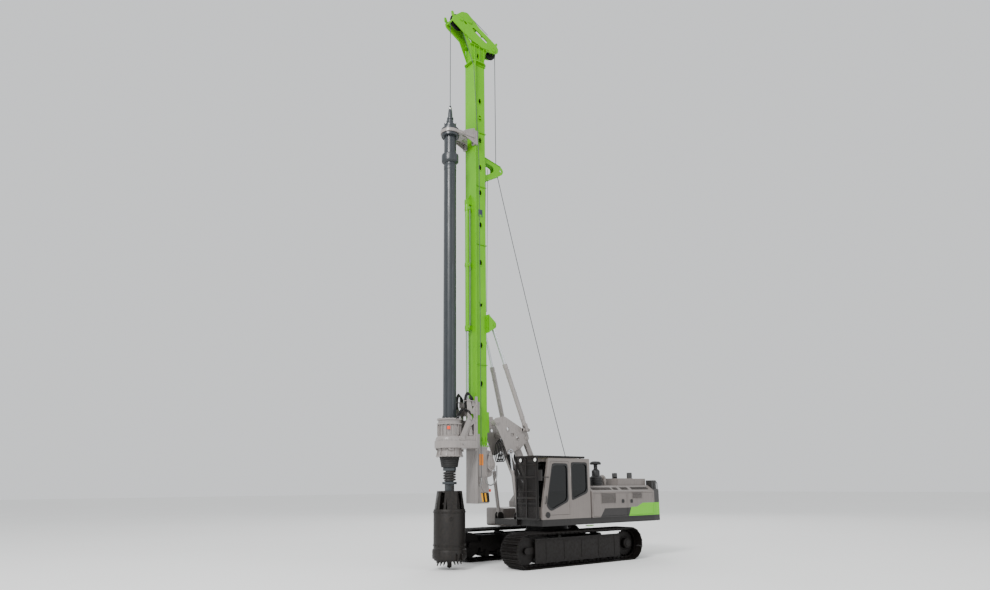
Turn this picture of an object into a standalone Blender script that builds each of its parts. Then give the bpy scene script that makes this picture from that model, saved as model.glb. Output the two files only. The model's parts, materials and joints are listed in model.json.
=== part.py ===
"""Rotary piling rig: a tracked machine that drills large holes for concrete piles.

Metres, +Z up, +X towards the mast, +Y towards the machine's left (its cab side).
Places are measured from the slewing axis at ground level.  The empty "rig" carries
everything and shifts it, so that the world origin is the middle of the rig's outline.
"""
import math

import bmesh
import bpy
from mathutils import Matrix, Vector

# ------------------------------------------------------------------ driving sizes
GAP = 0.0003                # between pieces that touch
CLEAR = 0.006               # between pieces that move past each other
PIN_FIT = 0.0008            # radial clearance of a bore on its pin
SLIDE_FIT = 0.0006          # between the faces of a slide or a turning ring
OPEN_EYE = 0.022            # radial clearance where a closed linkage is opened
SLEW_X = -0.23              # slewing axis in the world, from the middle of the outline

# tracks
TRACK_FRONT_X = 2.09        # idler hub
TRACK_REAR_X = -1.956       # sprocket hub
TRACK_GAUGE = 2.60          # between the middles of the two tracks
SHOE_WIDTH = 0.70
TRACK_RADIUS = 0.477        # from a hub to the tips of the shoes
TRACK_THICK = 0.105         # shoes and chain together
SHOE_PITCH = 0.171
GROUSER = 0.020             # height of the bars on a shoe
FRAME_WIDTH = 0.36          # of a track's side frame
ROLLER_RADIUS = 0.10
ROLLERS = 7

# car body and slewing ring
CAR_TOP_Z = 0.90
CAR_BEAM_X = 0.78           # cross beams, from the slewing axis
CAR_BEAM = 0.34             # width of a cross beam
RING_RADIUS = 0.64
RING_TOP_Z = 1.03

# house
DECK_BOTTOM_Z = 1.07
DECK_TOP_Z = 1.27
HOUSE_HALF = 1.54           # half width of the hoods
DECK_REAR_X = -3.22
DECK_FRONT_X = 1.52
CHANNEL_HALF = 0.53         # half width of the open middle, between cab and right boxes
HOOD_FRONT_X = -0.42
HOOD_TOP_Z = 2.20
HOOD_SHOULDER_Z = 2.03
HOOD_TOP_HALF = 1.30
HOOD_WALL = 0.04
WELL_REAR_X = -1.88         # rear wall of the winch well
DOOR_SPLIT_X = -1.953
WEIGHT_REAR_X = -3.60
WEIGHT_HALF = 1.50
WEIGHT_BOTTOM_Z = 1.10
WEIGHT_TOP_Z = 2.075

# cab
CAB_REAR_X = -0.38
CAB_FRONT_X = 1.52
CAB_ROOF_X = 1.25           # front end of the roof
CAB_LEFT_Y = 1.52
CAB_RIGHT_Y = 0.535
CAB_TOP_Z = 2.985
CAB_WALL = 0.05
PILLAR_X = 0.42             # pillar behind the door
GLASS = 0.006

# boom linkage (x, z)
BOOM_FOOT = (0.55, 1.60)
BOOM_HEAD = (1.40, 3.35)
LINK_FOOT = (0.23, 1.87)
LUFF_FOOT = (1.50, 1.36)
LUFF_HEAD = (1.754, 3.20)
MAST_PIVOT = (2.19, 4.04)
CYL_FOOT = (1.19, 3.85)     # mast cylinders' cardan blocks on the triangle
CYL_HEAD = (2.20, 6.95)     # their rod eyes, behind the mast
CYL_FOOT_Y = 0.50
CYL_HEAD_Y = 0.20
LUFF_Y = 0.445
LUFF_BARREL_RADIUS = 0.05
ARM_Y = 0.27                # middle of a boom arm and of a rear link
ARM_THICK = 0.10
PLATE_Y = 0.375             # middle of a triangle plate
PLATE_THICK = 0.036
PIN_RADIUS = 0.04
LUFF_PIN = 0.03

# mast
MAST_REAR_X = 2.41
MAST_FRONT_X = 2.83
MAST_HALF = 0.20
RAIL_HALF = 0.27            # half width of the front plate, whose edges are the rails
RAIL_THICK = 0.03
MAST_WALL = 0.012
MAST_BOTTOM_Z = 1.73
MAST_JOINT_Z = 3.33
MAST_TOP_Z = 15.50
ROPE_FIN_Z = 12.10          # rope guide behind the mast
CROWD_X = 2.96
CROWD_BARREL_RADIUS = 0.075
CROWD_ROD_RADIUS = 0.0325
CROWD_LOW_Z = 6.72
CROWD_TOP_Z = 10.69
CROWD_EYE_Z = 4.62

# kelly bar, drive and bucket
KELLY_X = 3.59
KELLY_RADIUS = 0.187
KELLY_TOP_Z = 12.98
KELLY_TUBE_BOTTOM_Z = 2.70
STUB_HALF = 0.10
SOCKET_TOP_Z = 13.77
GUIDE_BOTTOM_Z = 12.80
GUIDE_THICK = 0.10
COLLAR_Z = (11.88, 12.14)
COLLAR_RADIUS = 0.26
DRIVE_PLATE_Z = (3.26, 3.47)
DRIVE_TOP_Z = 4.09
DRIVE_RADIUS = 0.36
DRIVE_BORE = KELLY_RADIUS + 0.010
FLANGE_BOTTOM_Z = 3.03
BOOT_BOTTOM_Z = 2.74
CARRIAGE_Y = 0.33           # middle of a carriage side plate
CARRIAGE_THICK = 0.03
BUCKET_RADIUS = 0.44
BUCKET_RIM_RADIUS = 0.47
BUCKET_WALL = 0.02
BUCKET_TOP_Z = 1.60
BUCKET_BOX_TOP_Z = 2.09
STUB_BOTTOM_Z = BUCKET_BOX_TOP_Z + GAP
BUCKET_BOTTOM_Z = 0.29
BUCKET_TIP_Z = 0.03

# ------------------------------------------------------------------ paints
PAINTS = {
    "undercarriage_brown": ((0.022, 0.013, 0.010), 0.62, 0.1),
    "house_grey": ((0.42, 0.38, 0.36), 0.45, 0.0),
    "frame_grey": ((0.40, 0.39, 0.38), 0.45, 0.0),
    "band_black": ((0.030, 0.026, 0.024), 0.5, 0.0),
    "mast_green": ((0.36, 0.63, 0.035), 0.42, 0.0),
    "kelly_grey": ((0.10, 0.125, 0.14), 0.45, 0.3),
    "chrome": ((0.75, 0.74, 0.78), 0.15, 1.0),
    "bucket_brown": ((0.055, 0.048, 0.044), 0.6, 0.3),
    "rubber_black": ((0.015, 0.015, 0.015), 0.75, 0.0),
    "glass_dark": ((0.02, 0.024, 0.026), 0.08, 0.0),
    "seat_cloth": ((0.02, 0.02, 0.022), 0.85, 0.0),
    "cast_iron": ((0.08, 0.08, 0.08), 0.6, 0.6),
}


def paint(name):
    """The material of that name, made once from the table above."""
    if name in bpy.data.materials:
        return bpy.data.materials[name]
    colour, roughness, metallic = PAINTS[name]
    material = bpy.data.materials.new(name)
    material.use_nodes = True
    shader = material.node_tree.nodes["Principled BSDF"]
    shader.inputs["Base Color"].default_value = (*colour, 1.0)
    shader.inputs["Roughness"].default_value = roughness
    shader.inputs["Metallic"].default_value = metallic
    return material


# ------------------------------------------------------------------ scene helpers
for old in list(bpy.data.objects):
    bpy.data.objects.remove(old, do_unlink=True)

PARTS = bpy.data.collections.new("rotary_piling_rig")
TOOLS = bpy.data.collections.new("cutters")
bpy.context.scene.collection.children.link(PARTS)
bpy.context.scene.collection.children.link(TOOLS)
PLACE = {}                  # each empty's place, from the slewing axis


def pivot(name, at, parent=None):
    """An empty on a joint's axis, for the pieces that turn or slide there."""
    empty = bpy.data.objects.new(name, None)
    PARTS.objects.link(empty)
    PLACE[name] = Vector(at)
    if parent is None:
        empty.location = at
    else:
        empty.parent = parent
        empty.location = PLACE[name] - PLACE[parent.name]
    return empty


def place(thing, on, at, turn=None):
    """Hang an object on its empty, at a place measured from the slewing axis."""
    thing.parent = on
    thing.location = Vector(at) - PLACE[on.name]
    if turn is not None:
        thing.rotation_mode = "QUATERNION"
        thing.rotation_quaternion = turn.to_quaternion()
    return thing


def finish(mesh, name, colour, on, at, turn=None):
    """An object of this mesh; with no colour it is a tool and goes to the cutters."""
    thing = bpy.data.objects.new(name, mesh)
    if colour is None:
        TOOLS.objects.link(thing)
        thing.hide_render = True
        thing.display_type = "WIRE"
    else:
        PARTS.objects.link(thing)
        mesh.materials.append(paint(colour))
    return place(thing, on, at, turn)


def smooth(mesh):
    """Round sides are shaded smooth up to their sharp edges."""
    mesh.shade_smooth()
    mesh.set_sharp_from_angle(angle=math.radians(35))


def block(name, x, y, z, colour, on):
    """A box between two limits along each axis."""
    bm = bmesh.new()
    bmesh.ops.create_cube(bm, size=1.0)
    size = (x[1] - x[0], y[1] - y[0], z[1] - z[0])
    bmesh.ops.scale(bm, vec=size, verts=bm.verts)
    mesh = bpy.data.meshes.new(name)
    bm.to_mesh(mesh)
    bm.free()
    middle = ((x[0] + x[1]) / 2, (y[0] + y[1]) / 2, (z[0] + z[1]) / 2)
    return finish(mesh, name, colour, on, middle)


def rod(name, start, end, radius, colour, on, sides=24, end_radius=None):
    """A round bar or cone from one point to another."""
    start, end = Vector(start), Vector(end)
    along = end - start
    bm = bmesh.new()
    bmesh.ops.create_cone(bm, cap_ends=True, segments=sides, radius1=radius,
                          radius2=radius if end_radius is None else end_radius,
                          depth=along.length)
    mesh = bpy.data.meshes.new(name)
    bm.to_mesh(mesh)
    bm.free()
    smooth(mesh)
    turn = Vector((0, 0, 1)).rotation_difference(along).to_matrix()
    return finish(mesh, name, colour, on, (start + end) / 2, turn)


FACING = {
    "xz": Matrix(((1, 0, 0), (0, 0, -1), (0, 1, 0))),
    "xy": Matrix.Identity(3),
    "yz": Matrix(((0, 0, 1), (1, 0, 0), (0, 1, 0))),
}


def sheet(name, outline, middle, thick, colour, on, facing="xz", holes=()):
    """A flat plate: its outline lies in the facing plane, middle is its place across it.

    holes are further outlines, cut through.  It is a 2D curve, filled and extruded,
    then made a mesh so that it can be cut and joined.
    """
    curve = bpy.data.curves.new(name, "CURVE")
    curve.dimensions = "2D"
    curve.fill_mode = "BOTH"
    curve.extrude = thick / 2
    for ring in (outline, *holes):
        spline = curve.splines.new("POLY")
        spline.points.add(len(ring) - 1)
        for point, (u, v) in zip(spline.points, ring):
            point.co = (u, v, 0, 1)
        spline.use_cyclic_u = True
    guide = bpy.data.objects.new(name + "_outline", curve)
    TOOLS.objects.link(guide)
    bpy.context.view_layer.update()
    graph = bpy.context.evaluated_depsgraph_get()
    mesh = bpy.data.meshes.new_from_object(guide.evaluated_get(graph))
    bpy.data.objects.remove(guide, do_unlink=True)
    bm = bmesh.new()
    bm.from_mesh(mesh)
    bmesh.ops.remove_doubles(bm, verts=bm.verts, dist=0.00001)
    bmesh.ops.recalc_face_normals(bm, faces=bm.faces)
    bm.to_mesh(mesh)
    bm.free()
    mesh.name = name
    mesh.materials.clear()
    across = {"xz": (0, middle, 0), "xy": (0, 0, middle), "yz": (middle, 0, 0)}[facing]
    return finish(mesh, name, colour, on, across, FACING[facing])


def turned(name, profile, at, colour, on, sides=32):
    """A turned piece: (radius, height) points from the top down, spun about its own Z."""
    bm = bmesh.new()
    verts = [bm.verts.new((r, 0, z)) for r, z in profile]
    for a, b in zip(verts, verts[1:]):
        bm.edges.new((a, b))
    mesh = bpy.data.meshes.new(name)
    bm.to_mesh(mesh)
    bm.free()
    thing = finish(mesh, name, colour, on, at)
    screw = thing.modifiers.new("turn", "SCREW")
    screw.steps = sides
    screw.render_steps = sides
    screw.use_merge_vertices = True
    screw.merge_threshold = 0.00005
    screw.use_smooth_shade = False
    return thing


def combine(thing, operation, tools):
    """Boolean modifiers that join or cut the tools, one after another."""
    for tool in tools:
        boolean = thing.modifiers.new(tool.name, "BOOLEAN")
        boolean.operation = operation
        boolean.solver = "EXACT"
        boolean.object = tool
    return thing


def join(thing, *tools):
    return combine(thing, "UNION", tools)


def cut(thing, *tools):
    return combine(thing, "DIFFERENCE", tools)


def bevel(thing, width, segments=1):
    """Rounded or chamfered edges, on an object whose scale is already in its mesh."""
    edge = thing.modifiers.new("bevel", "BEVEL")
    edge.width = width
    edge.segments = segments
    edge.limit_method = "ANGLE"
    edge.harden_normals = False
    return thing


def circle(centre, radius, sides=24):
    """Points around a circle."""
    steps = [2 * math.pi * k / sides for k in range(sides)]
    return [(centre[0] + radius * math.cos(a), centre[1] + radius * math.sin(a)) for a in steps]


def capsule(a, b, radius, sides=8):
    """A bar's outline: round ends of that radius at two points."""
    heading = math.atan2(b[1] - a[1], b[0] - a[0])
    points = []
    for centre, first in ((b, heading - math.pi / 2), (a, heading + math.pi / 2)):
        for k in range(sides + 1):
            angle = first + math.pi * k / sides
            points.append((centre[0] + radius * math.cos(angle), centre[1] + radius * math.sin(angle)))
    return points


SIDES = (("left", 1), ("right", -1))


def mirrored(low, high, side):
    """A y range on the left side, or its mirror image on the right."""
    return (low, high) if side > 0 else (-high, -low)


# ------------------------------------------------------------------ undercarriage
RIG = pivot("rig", (0, 0, 0))
RIG.location = (SLEW_X, 0, 0)


def stadium(offset, along):
    """A point on the track's loop: offset outwards from the hubs' radius line, by length."""
    straight = TRACK_FRONT_X - TRACK_REAR_X
    mean = TRACK_RADIUS - TRACK_THICK / 2
    half_turn = math.pi * mean
    loop = 2 * (straight + half_turn)
    along %= loop
    radius = mean + offset
    if along < straight:
        return (TRACK_REAR_X + along, TRACK_RADIUS - radius)
    along -= straight
    if along < half_turn:
        angle = -math.pi / 2 + along / mean
        return (TRACK_FRONT_X + radius * math.cos(angle), TRACK_RADIUS + radius * math.sin(angle))
    along -= half_turn
    if along < straight:
        return (TRACK_FRONT_X - along, TRACK_RADIUS + radius)
    along -= straight
    angle = math.pi / 2 + along / mean
    return (TRACK_REAR_X + radius * math.cos(angle), TRACK_RADIUS + radius * math.sin(angle))


def track_outlines():
    """The loop's outer outline, with a gap and a bar for each shoe, and its inner one."""
    straight = TRACK_FRONT_X - TRACK_REAR_X
    loop = 2 * (straight + math.pi * (TRACK_RADIUS - TRACK_THICK / 2))
    count = round(loop / SHOE_PITCH)
    pitch = loop / count
    high = TRACK_THICK / 2
    outer = []
    for k in range(count):
        for share, drop in ((0.0, GROUSER), (0.08, 0.0), (0.34, 0.0), (0.42, GROUSER)):
            outer.append(stadium(high - drop, (k + share) * pitch))
    inner = [stadium(-high, loop * k / 120) for k in range(120)]
    return outer, inner


def undercarriage():
    outer, inner = track_outlines()
    frame_low = TRACK_THICK + 2 * ROLLER_RADIUS * 0.75
    frame_high = 2 * TRACK_RADIUS - TRACK_THICK - 0.10
    wheel = TRACK_RADIUS - TRACK_THICK - CLEAR
    inner_y = TRACK_GAUGE / 2 - FRAME_WIDTH / 2
    for name, side in SIDES:
        y = side * TRACK_GAUGE / 2
        sheet("track_" + name, outer, y, SHOE_WIDTH, "undercarriage_brown", RIG, holes=(inner,))
        span = (y - FRAME_WIDTH / 2, y + FRAME_WIDTH / 2)
        x = (TRACK_REAR_X + 0.42, TRACK_FRONT_X - 0.40)
        frame = block("track_frame_" + name, x, span, (frame_low, frame_high), "undercarriage_brown", RIG)
        pieces = []
        roller_z = TRACK_THICK + GAP + ROLLER_RADIUS
        for k in range(ROLLERS):
            rx = TRACK_REAR_X + 0.62 + k * (TRACK_FRONT_X - TRACK_REAR_X - 1.22) / (ROLLERS - 1)
            pieces.append(rod(f"roller_{name}_{k}", (rx, span[0] - 0.05, roller_z),
                              (rx, span[1] + 0.05, roller_z), ROLLER_RADIUS, None, RIG, sides=16))
        for k, rx in enumerate((-0.75, 0.85)):
            top_z = 2 * TRACK_RADIUS - TRACK_THICK - GAP - 0.07
            pieces.append(rod(f"top_roller_{name}_{k}", (rx, span[0], top_z), (rx, span[1], top_z),
                              0.07, None, RIG, sides=16))
        pieces.append(rod("idler_" + name, (TRACK_FRONT_X, span[0] + 0.04, TRACK_RADIUS),
                          (TRACK_FRONT_X, span[1] - 0.04, TRACK_RADIUS), wheel, None, RIG, sides=32))
        pieces.append(rod("idler_hub_" + name, (TRACK_FRONT_X, y - 0.22, TRACK_RADIUS),
                          (TRACK_FRONT_X, y + 0.22, TRACK_RADIUS), 0.09, None, RIG, sides=16))
        pieces.append(block("idler_fork_" + name, (x[1] - 0.05, TRACK_FRONT_X), span,
                            (TRACK_RADIUS - 0.09, TRACK_RADIUS + 0.09), None, RIG))
        skirt_x = (TRACK_REAR_X + 0.44, TRACK_FRONT_X - 0.26)
        skirt_y = mirrored(TRACK_GAUGE / 2 + FRAME_WIDTH / 2 + 0.04,
                           TRACK_GAUGE / 2 + FRAME_WIDTH / 2 + 0.07, side)
        skirt_z = (TRACK_THICK + 0.03, 2 * TRACK_RADIUS - TRACK_THICK - 0.06)
        pieces.append(block("skirt_" + name, skirt_x, skirt_y, skirt_z, None, RIG))
        join(frame, *pieces)
        sprocket = rod("sprocket_" + name, (TRACK_REAR_X, span[0] + 0.05, TRACK_RADIUS),
                       (TRACK_REAR_X, span[1] - 0.05, TRACK_RADIUS), wheel, "undercarriage_brown", RIG,
                       sides=32)
        join(sprocket, rod("final_drive_" + name, (TRACK_REAR_X, y - 0.30 * side, TRACK_RADIUS),
                           (TRACK_REAR_X, y + 0.33 * side, TRACK_RADIUS), 0.19, None, RIG, sides=24),
             block("drive_case_" + name, (TRACK_REAR_X, TRACK_REAR_X + 0.42 - GAP),
                   span, (TRACK_RADIUS - 0.11, TRACK_RADIUS + 0.11), None, RIG))
    body = block("car_body", (-0.95, 0.95), (-0.70, 0.70), (0.46, 0.80), "undercarriage_brown", RIG)
    beams = []
    for k, x in enumerate((-CAR_BEAM_X, CAR_BEAM_X)):
        beams.append(block(f"cross_beam_{k}", (x - CAR_BEAM / 2, x + CAR_BEAM / 2),
                           (-inner_y + GAP, inner_y - GAP), (0.44, 0.78), None, RIG))
    pedestal = rod("ring_pedestal", (0, 0, 0.70), (0, 0, CAR_TOP_Z), RING_RADIUS + 0.04, None, RIG, sides=40)
    join(body, *beams, pedestal)
    rod("slewing_ring", (0, 0, CAR_TOP_Z + GAP), (0, 0, RING_TOP_Z), RING_RADIUS, "cast_iron", RIG, sides=40)


# ------------------------------------------------------------------ upper structure
UPPER = pivot("slew_axis", (0, 0, RING_TOP_Z), RIG)
BOOM = pivot("boom_axis", (BOOM_FOOT[0], 0, BOOM_FOOT[1]), UPPER)
LINKS = pivot("link_axis", (LINK_FOOT[0], 0, LINK_FOOT[1]), UPPER)


def deck():
    """The main frame: a plate under the house, with the boom's foot brackets."""
    outline = [(DECK_REAR_X, -1.50), (0.28, -1.50), (0.28, -CHANNEL_HALF), (1.62, -CHANNEL_HALF + 0.02),
               (1.62, CHANNEL_HALF), (DECK_FRONT_X, CHANNEL_HALF), (DECK_FRONT_X, 1.52), (DECK_REAR_X, 1.52)]
    mid = (DECK_BOTTOM_Z + 0.03 + DECK_TOP_Z) / 2
    base = sheet("turntable_deck", outline, mid, DECK_TOP_Z - DECK_BOTTOM_Z - 0.03, "band_black", UPPER,
                 facing="xy")
    pieces = [rod("ring_seat", (0, 0, RING_TOP_Z + SLIDE_FIT), (0, 0, DECK_BOTTOM_Z + 0.10),
                  RING_RADIUS - 0.03,
                  None, UPPER, sides=40)]
    lugs = []
    for name, side in SIDES:
        arm = side * ARM_Y
        for k, shift in enumerate((-1, 1)):
            y = arm + shift * (ARM_THICK / 2 + CLEAR + 0.015)
            lug = [(-0.05, DECK_TOP_Z - 0.05), (0.85, DECK_TOP_Z - 0.05), (0.68, 1.62), (0.58, 1.72),
                   (0.34, 1.96), (0.18, 1.97), (0.10, 1.88)]
            lugs.append(sheet(f"boom_lug_{name}_{k}", lug, y, 0.03, None, UPPER))
            foot = side * LUFF_Y + shift * (LUFF_BARREL_RADIUS + CLEAR + 0.01)
            ear = [(1.36, DECK_TOP_Z - 0.05), (1.61, DECK_TOP_Z - 0.05), (1.60, 1.40), (1.55, 1.45),
                   (1.45, 1.45), (1.40, 1.40)]
            lugs.append(sheet(f"luff_lug_{name}_{k}", ear, foot, 0.02, None, UPPER))
        reach = ARM_THICK / 2 + CLEAR + 0.03
        for key, (x, z) in (("boom", BOOM_FOOT), ("link", LINK_FOOT)):
            lugs.append(rod(f"{key}_pin_{name}", (x, arm - reach, z), (x, arm + reach, z), PIN_RADIUS,
                            None, UPPER))
        reach = LUFF_BARREL_RADIUS + CLEAR + 0.015
        x, z = LUFF_FOOT
        lugs.append(rod(f"luff_pin_{name}", (x, side * LUFF_Y - reach, z), (x, side * LUFF_Y + reach, z),
                        LUFF_PIN, None, UPPER))
    join(base, *pieces, *lugs)


def counterweight():
    half = WEIGHT_HALF
    corner = 0.10
    outline = [(DECK_REAR_X - GAP, -half), (DECK_REAR_X - GAP, half), (WEIGHT_REAR_X + corner, half),
               (WEIGHT_REAR_X, half - 2 * corner), (WEIGHT_REAR_X, 2 * corner - half),
               (WEIGHT_REAR_X + corner, -half)]
    weight = sheet("counterweight", outline, (WEIGHT_BOTTOM_Z + WEIGHT_TOP_Z) / 2,
                   WEIGHT_TOP_Z - WEIGHT_BOTTOM_Z, "house_grey", UPPER, facing="xy")
    rest = []
    for name, side in SIDES:
        y = side * 0.33
        rest.append(block("rest_post_" + name, (WEIGHT_REAR_X + 0.04, WEIGHT_REAR_X + 0.24),
                          (y - 0.03, y + 0.03),
                          (WEIGHT_TOP_Z - 0.05, WEIGHT_TOP_Z + 0.545), None, UPPER))
    rest.append(block("rest_beam", (WEIGHT_REAR_X + 0.06, WEIGHT_REAR_X + 0.22), (-0.33, 0.33),
                      (WEIGHT_TOP_Z + 0.125, WEIGHT_TOP_Z + 0.265), None, UPPER))
    rest.append(block("rear_box", (WEIGHT_REAR_X + 0.08, WEIGHT_REAR_X + 0.30),
                      (WEIGHT_HALF - 0.35, WEIGHT_HALF - 0.10),
                      (WEIGHT_TOP_Z - 0.02, WEIGHT_TOP_Z + 0.285), None, UPPER))
    join(weight, *rest)


def hood_outline(inset):
    """The hood's section across the machine, moved inwards by its wall."""
    side = HOUSE_HALF - inset
    top = HOOD_TOP_Z - inset
    shoulder = HOOD_SHOULDER_Z - inset * 0.6
    narrow = HOOD_TOP_HALF - inset * 0.3
    low = DECK_TOP_Z + (GAP if inset == 0 else -0.05)
    return [(-side, low), (side, low), (side, shoulder), (narrow, top), (-narrow, top), (-side, shoulder)]


def door_spans(side):
    """The x range of each door opening: two doors on the left side, the rear one on the right."""
    edge = 0.05
    front = (DOOR_SPLIT_X + edge / 2, HOOD_FRONT_X - edge)
    rear = (DECK_REAR_X + edge, DOOR_SPLIT_X - edge / 2)
    return {"front": front, "rear": rear} if side > 0 else {"rear": rear}


HINGE_OUT = 0.0062          # hinge axis of a flush door, outside the face
STRAP_THICK = 0.0055        # half thickness of a hinge strap


def hinge_strap(name, axis_x, root_x, face_y, z):
    """A strap fixed beside a flush door that reaches over its edge to the hinge's axis."""
    side = 1 if face_y > 0 else -1
    x = (min(axis_x, root_x), max(axis_x, root_x))
    inner = abs(face_y) + HINGE_OUT - STRAP_THICK
    strap = block(name, x, mirrored(inner, inner + 2 * STRAP_THICK, side), (z, z + 0.06), None, UPPER)
    away = 0.012 if root_x > axis_x else -0.012
    foot_x = (min(root_x - away, root_x), max(root_x - away, root_x))
    foot = block(name + "_foot", foot_x, mirrored(abs(face_y) - 0.01, inner + STRAP_THICK, side),
                 (z, z + 0.06), None,
                 UPPER)
    return [strap, foot]


def hood():
    """The hollow hood over the engine and the side cabinets, with its hinged doors."""
    length = HOOD_FRONT_X - DECK_REAR_X
    shell = sheet("hood_shell", hood_outline(0), DECK_REAR_X + length / 2, length, "house_grey", UPPER,
                  facing="yz")
    inside = DECK_REAR_X + HOOD_WALL, WELL_REAR_X - HOOD_WALL
    cavity = sheet("engine_room", hood_outline(HOOD_WALL), sum(inside) / 2, inside[1] - inside[0], None,
                   UPPER, facing="yz")
    cuts = [cavity, block("winch_well", (WELL_REAR_X, 1.0), (-CHANNEL_HALF, CHANNEL_HALF), (1.0, 2.5), None,
                          UPPER)]
    for name, side in SIDES:
        cuts.append(block("cabinet_" + name, (WELL_REAR_X - 0.001, HOOD_FRONT_X - HOOD_WALL),
                          mirrored(CHANNEL_HALF + HOOD_WALL, HOUSE_HALF - HOOD_WALL, side),
                          (DECK_TOP_Z - 0.05, HOOD_SHOULDER_Z - 0.03), None, UPPER))
        for key, span in door_spans(side).items():
            cuts.append(block(f"door_opening_{key}_{name}", span,
                              mirrored(HOUSE_HALF - HOOD_WALL - 0.02, HOUSE_HALF + 0.05, side),
                              (DECK_TOP_Z + 0.04, HOOD_SHOULDER_Z - 0.05), None, UPPER))
    join(shell, block("engine_cover", (DECK_REAR_X + 0.02, WELL_REAR_X - 0.05),
                      (0.12 - HOOD_TOP_HALF, HOOD_TOP_HALF - 0.08),
                      (HOOD_TOP_Z - 0.02, HOOD_TOP_Z + 0.21), None, UPPER))
    cut(shell, *cuts)
    z = (DECK_TOP_Z + 0.04 + CLEAR, HOOD_SHOULDER_Z - 0.05 - CLEAR)
    straps = []
    for name, side in SIDES:
        y = mirrored(HOUSE_HALF - HOOD_WALL, HOUSE_HALF, side)
        for key, span in door_spans(side).items():
            hinge_x = span[1] - 0.02 if key == "front" else span[0] + 0.02
            axis = pivot(f"{key}_door_hinge_{name}", (hinge_x, side * (HOUSE_HALF + HINGE_OUT), DECK_TOP_Z),
                         UPPER)
            block(f"hood_door_{key}_{name}", (span[0] + CLEAR, span[1] - CLEAR), y, z, "house_grey", axis)
            edge_x = span[1] + 0.03 if key == "front" else span[0] - 0.03
            for k, strap_z in enumerate((z[0] + 0.08, z[1] - 0.14)):
                straps += hinge_strap(f"strap_{key}_{name}_{k}", hinge_x, edge_x, side * HOUSE_HALF, strap_z)
    join(shell, *straps)
    engine = block("engine_block", (DECK_REAR_X + 0.27, WELL_REAR_X - 0.17), (-0.75, 0.75),
                   (DECK_TOP_Z + GAP, HOOD_TOP_Z - 0.15), "cast_iron", UPPER)
    bevel(engine, 0.05)


def deck_equipment():
    """Air cleaner, right-hand tank and tool box, and the two winches."""
    x, y = -1.15, 1.02
    foot = HOOD_TOP_Z + GAP
    cleaner = rod("air_cleaner", (x, y, foot), (x, y, foot + 0.26), 0.19, "band_black", UPPER)
    join(cleaner, rod("cleaner_body", (x, y, foot + 0.20), (x, y, foot + 0.50), 0.12, None, UPPER),
         rod("cleaner_neck", (x, y, foot + 0.45), (x, y, foot + 0.66), 0.06, None, UPPER),
         rod("cleaner_cap", (x, y, foot + 0.65), (x, y, foot + 0.73), 0.17, None, UPPER),
         rod("exhaust_pipe", (x - 0.35, y, foot), (x - 0.35, y, foot + 0.32), 0.07, None, UPPER),
         rod("exhaust_link", (x, y, foot + 0.26), (x - 0.35, y, foot + 0.26), 0.06, None, UPPER))
    profile = [(HOOD_FRONT_X + GAP + CLEAR, DECK_TOP_Z + GAP), (0.28, DECK_TOP_Z + GAP), (0.28, 1.72),
               (0.02, 2.0), (HOOD_FRONT_X + GAP + CLEAR, 2.0)]
    low, high = -HOUSE_HALF + 0.04, -CHANNEL_HALF
    sheet("fuel_tank", profile, (low + high) / 2, high - low, "house_grey", UPPER)
    box = block("tool_box", (0.28 + GAP, 1.27), (-1.42, -CHANNEL_HALF - 0.02), (1.02, 1.56), "house_grey",
                UPPER)
    bevel(box, 0.05, 2)
    plates = []
    base = block("winch_frame", (-1.75, -0.20), (-0.46, 0.46), (DECK_TOP_Z + GAP, 1.36), "frame_grey", UPPER)
    for k, y in enumerate((-0.44, 0.44)):
        plates.append(block(f"winch_cheek_{k}", (-1.68, -0.28), (y - 0.02, y + 0.02), (1.30, 2.02), None,
                            UPPER))
    join(base, *plates)
    for name, x, z in (("main_drum", -1.27, 1.80), ("aux_drum", -0.62, 1.72)):
        cut(base, rod(name + "_bore", (x, -0.5, z), (x, 0.5, z), PIN_RADIUS + PIN_FIT, None, UPPER))
        axis = pivot(name + "_axis", (x, 0, z), UPPER)
        drum = rod(name, (x, -0.40, z), (x, 0.40, z), 0.19, "frame_grey", axis, sides=32)
        flanges = [rod(f"{name}_flange_{k}", (x, y - 0.015, z), (x, y + 0.015, z), 0.27, None, axis,
                       sides=32)
                   for k, y in enumerate((-0.385, 0.385))]
        shaft = rod(name + "_shaft", (x, -0.47, z), (x, 0.47, z), PIN_RADIUS, None, axis)
        join(drum, shaft, *flanges)


def cab_outline(inset):
    """The cab's side, with its sloped front, moved inwards by its wall."""
    low = DECK_TOP_Z + GAP + inset
    top = CAB_TOP_Z - inset
    return [(CAB_REAR_X + inset, low), (CAB_FRONT_X - inset, low), (CAB_FRONT_X - inset, low + 0.30),
            (CAB_ROOF_X - inset * 0.8, top), (CAB_REAR_X + inset, top)]


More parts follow.
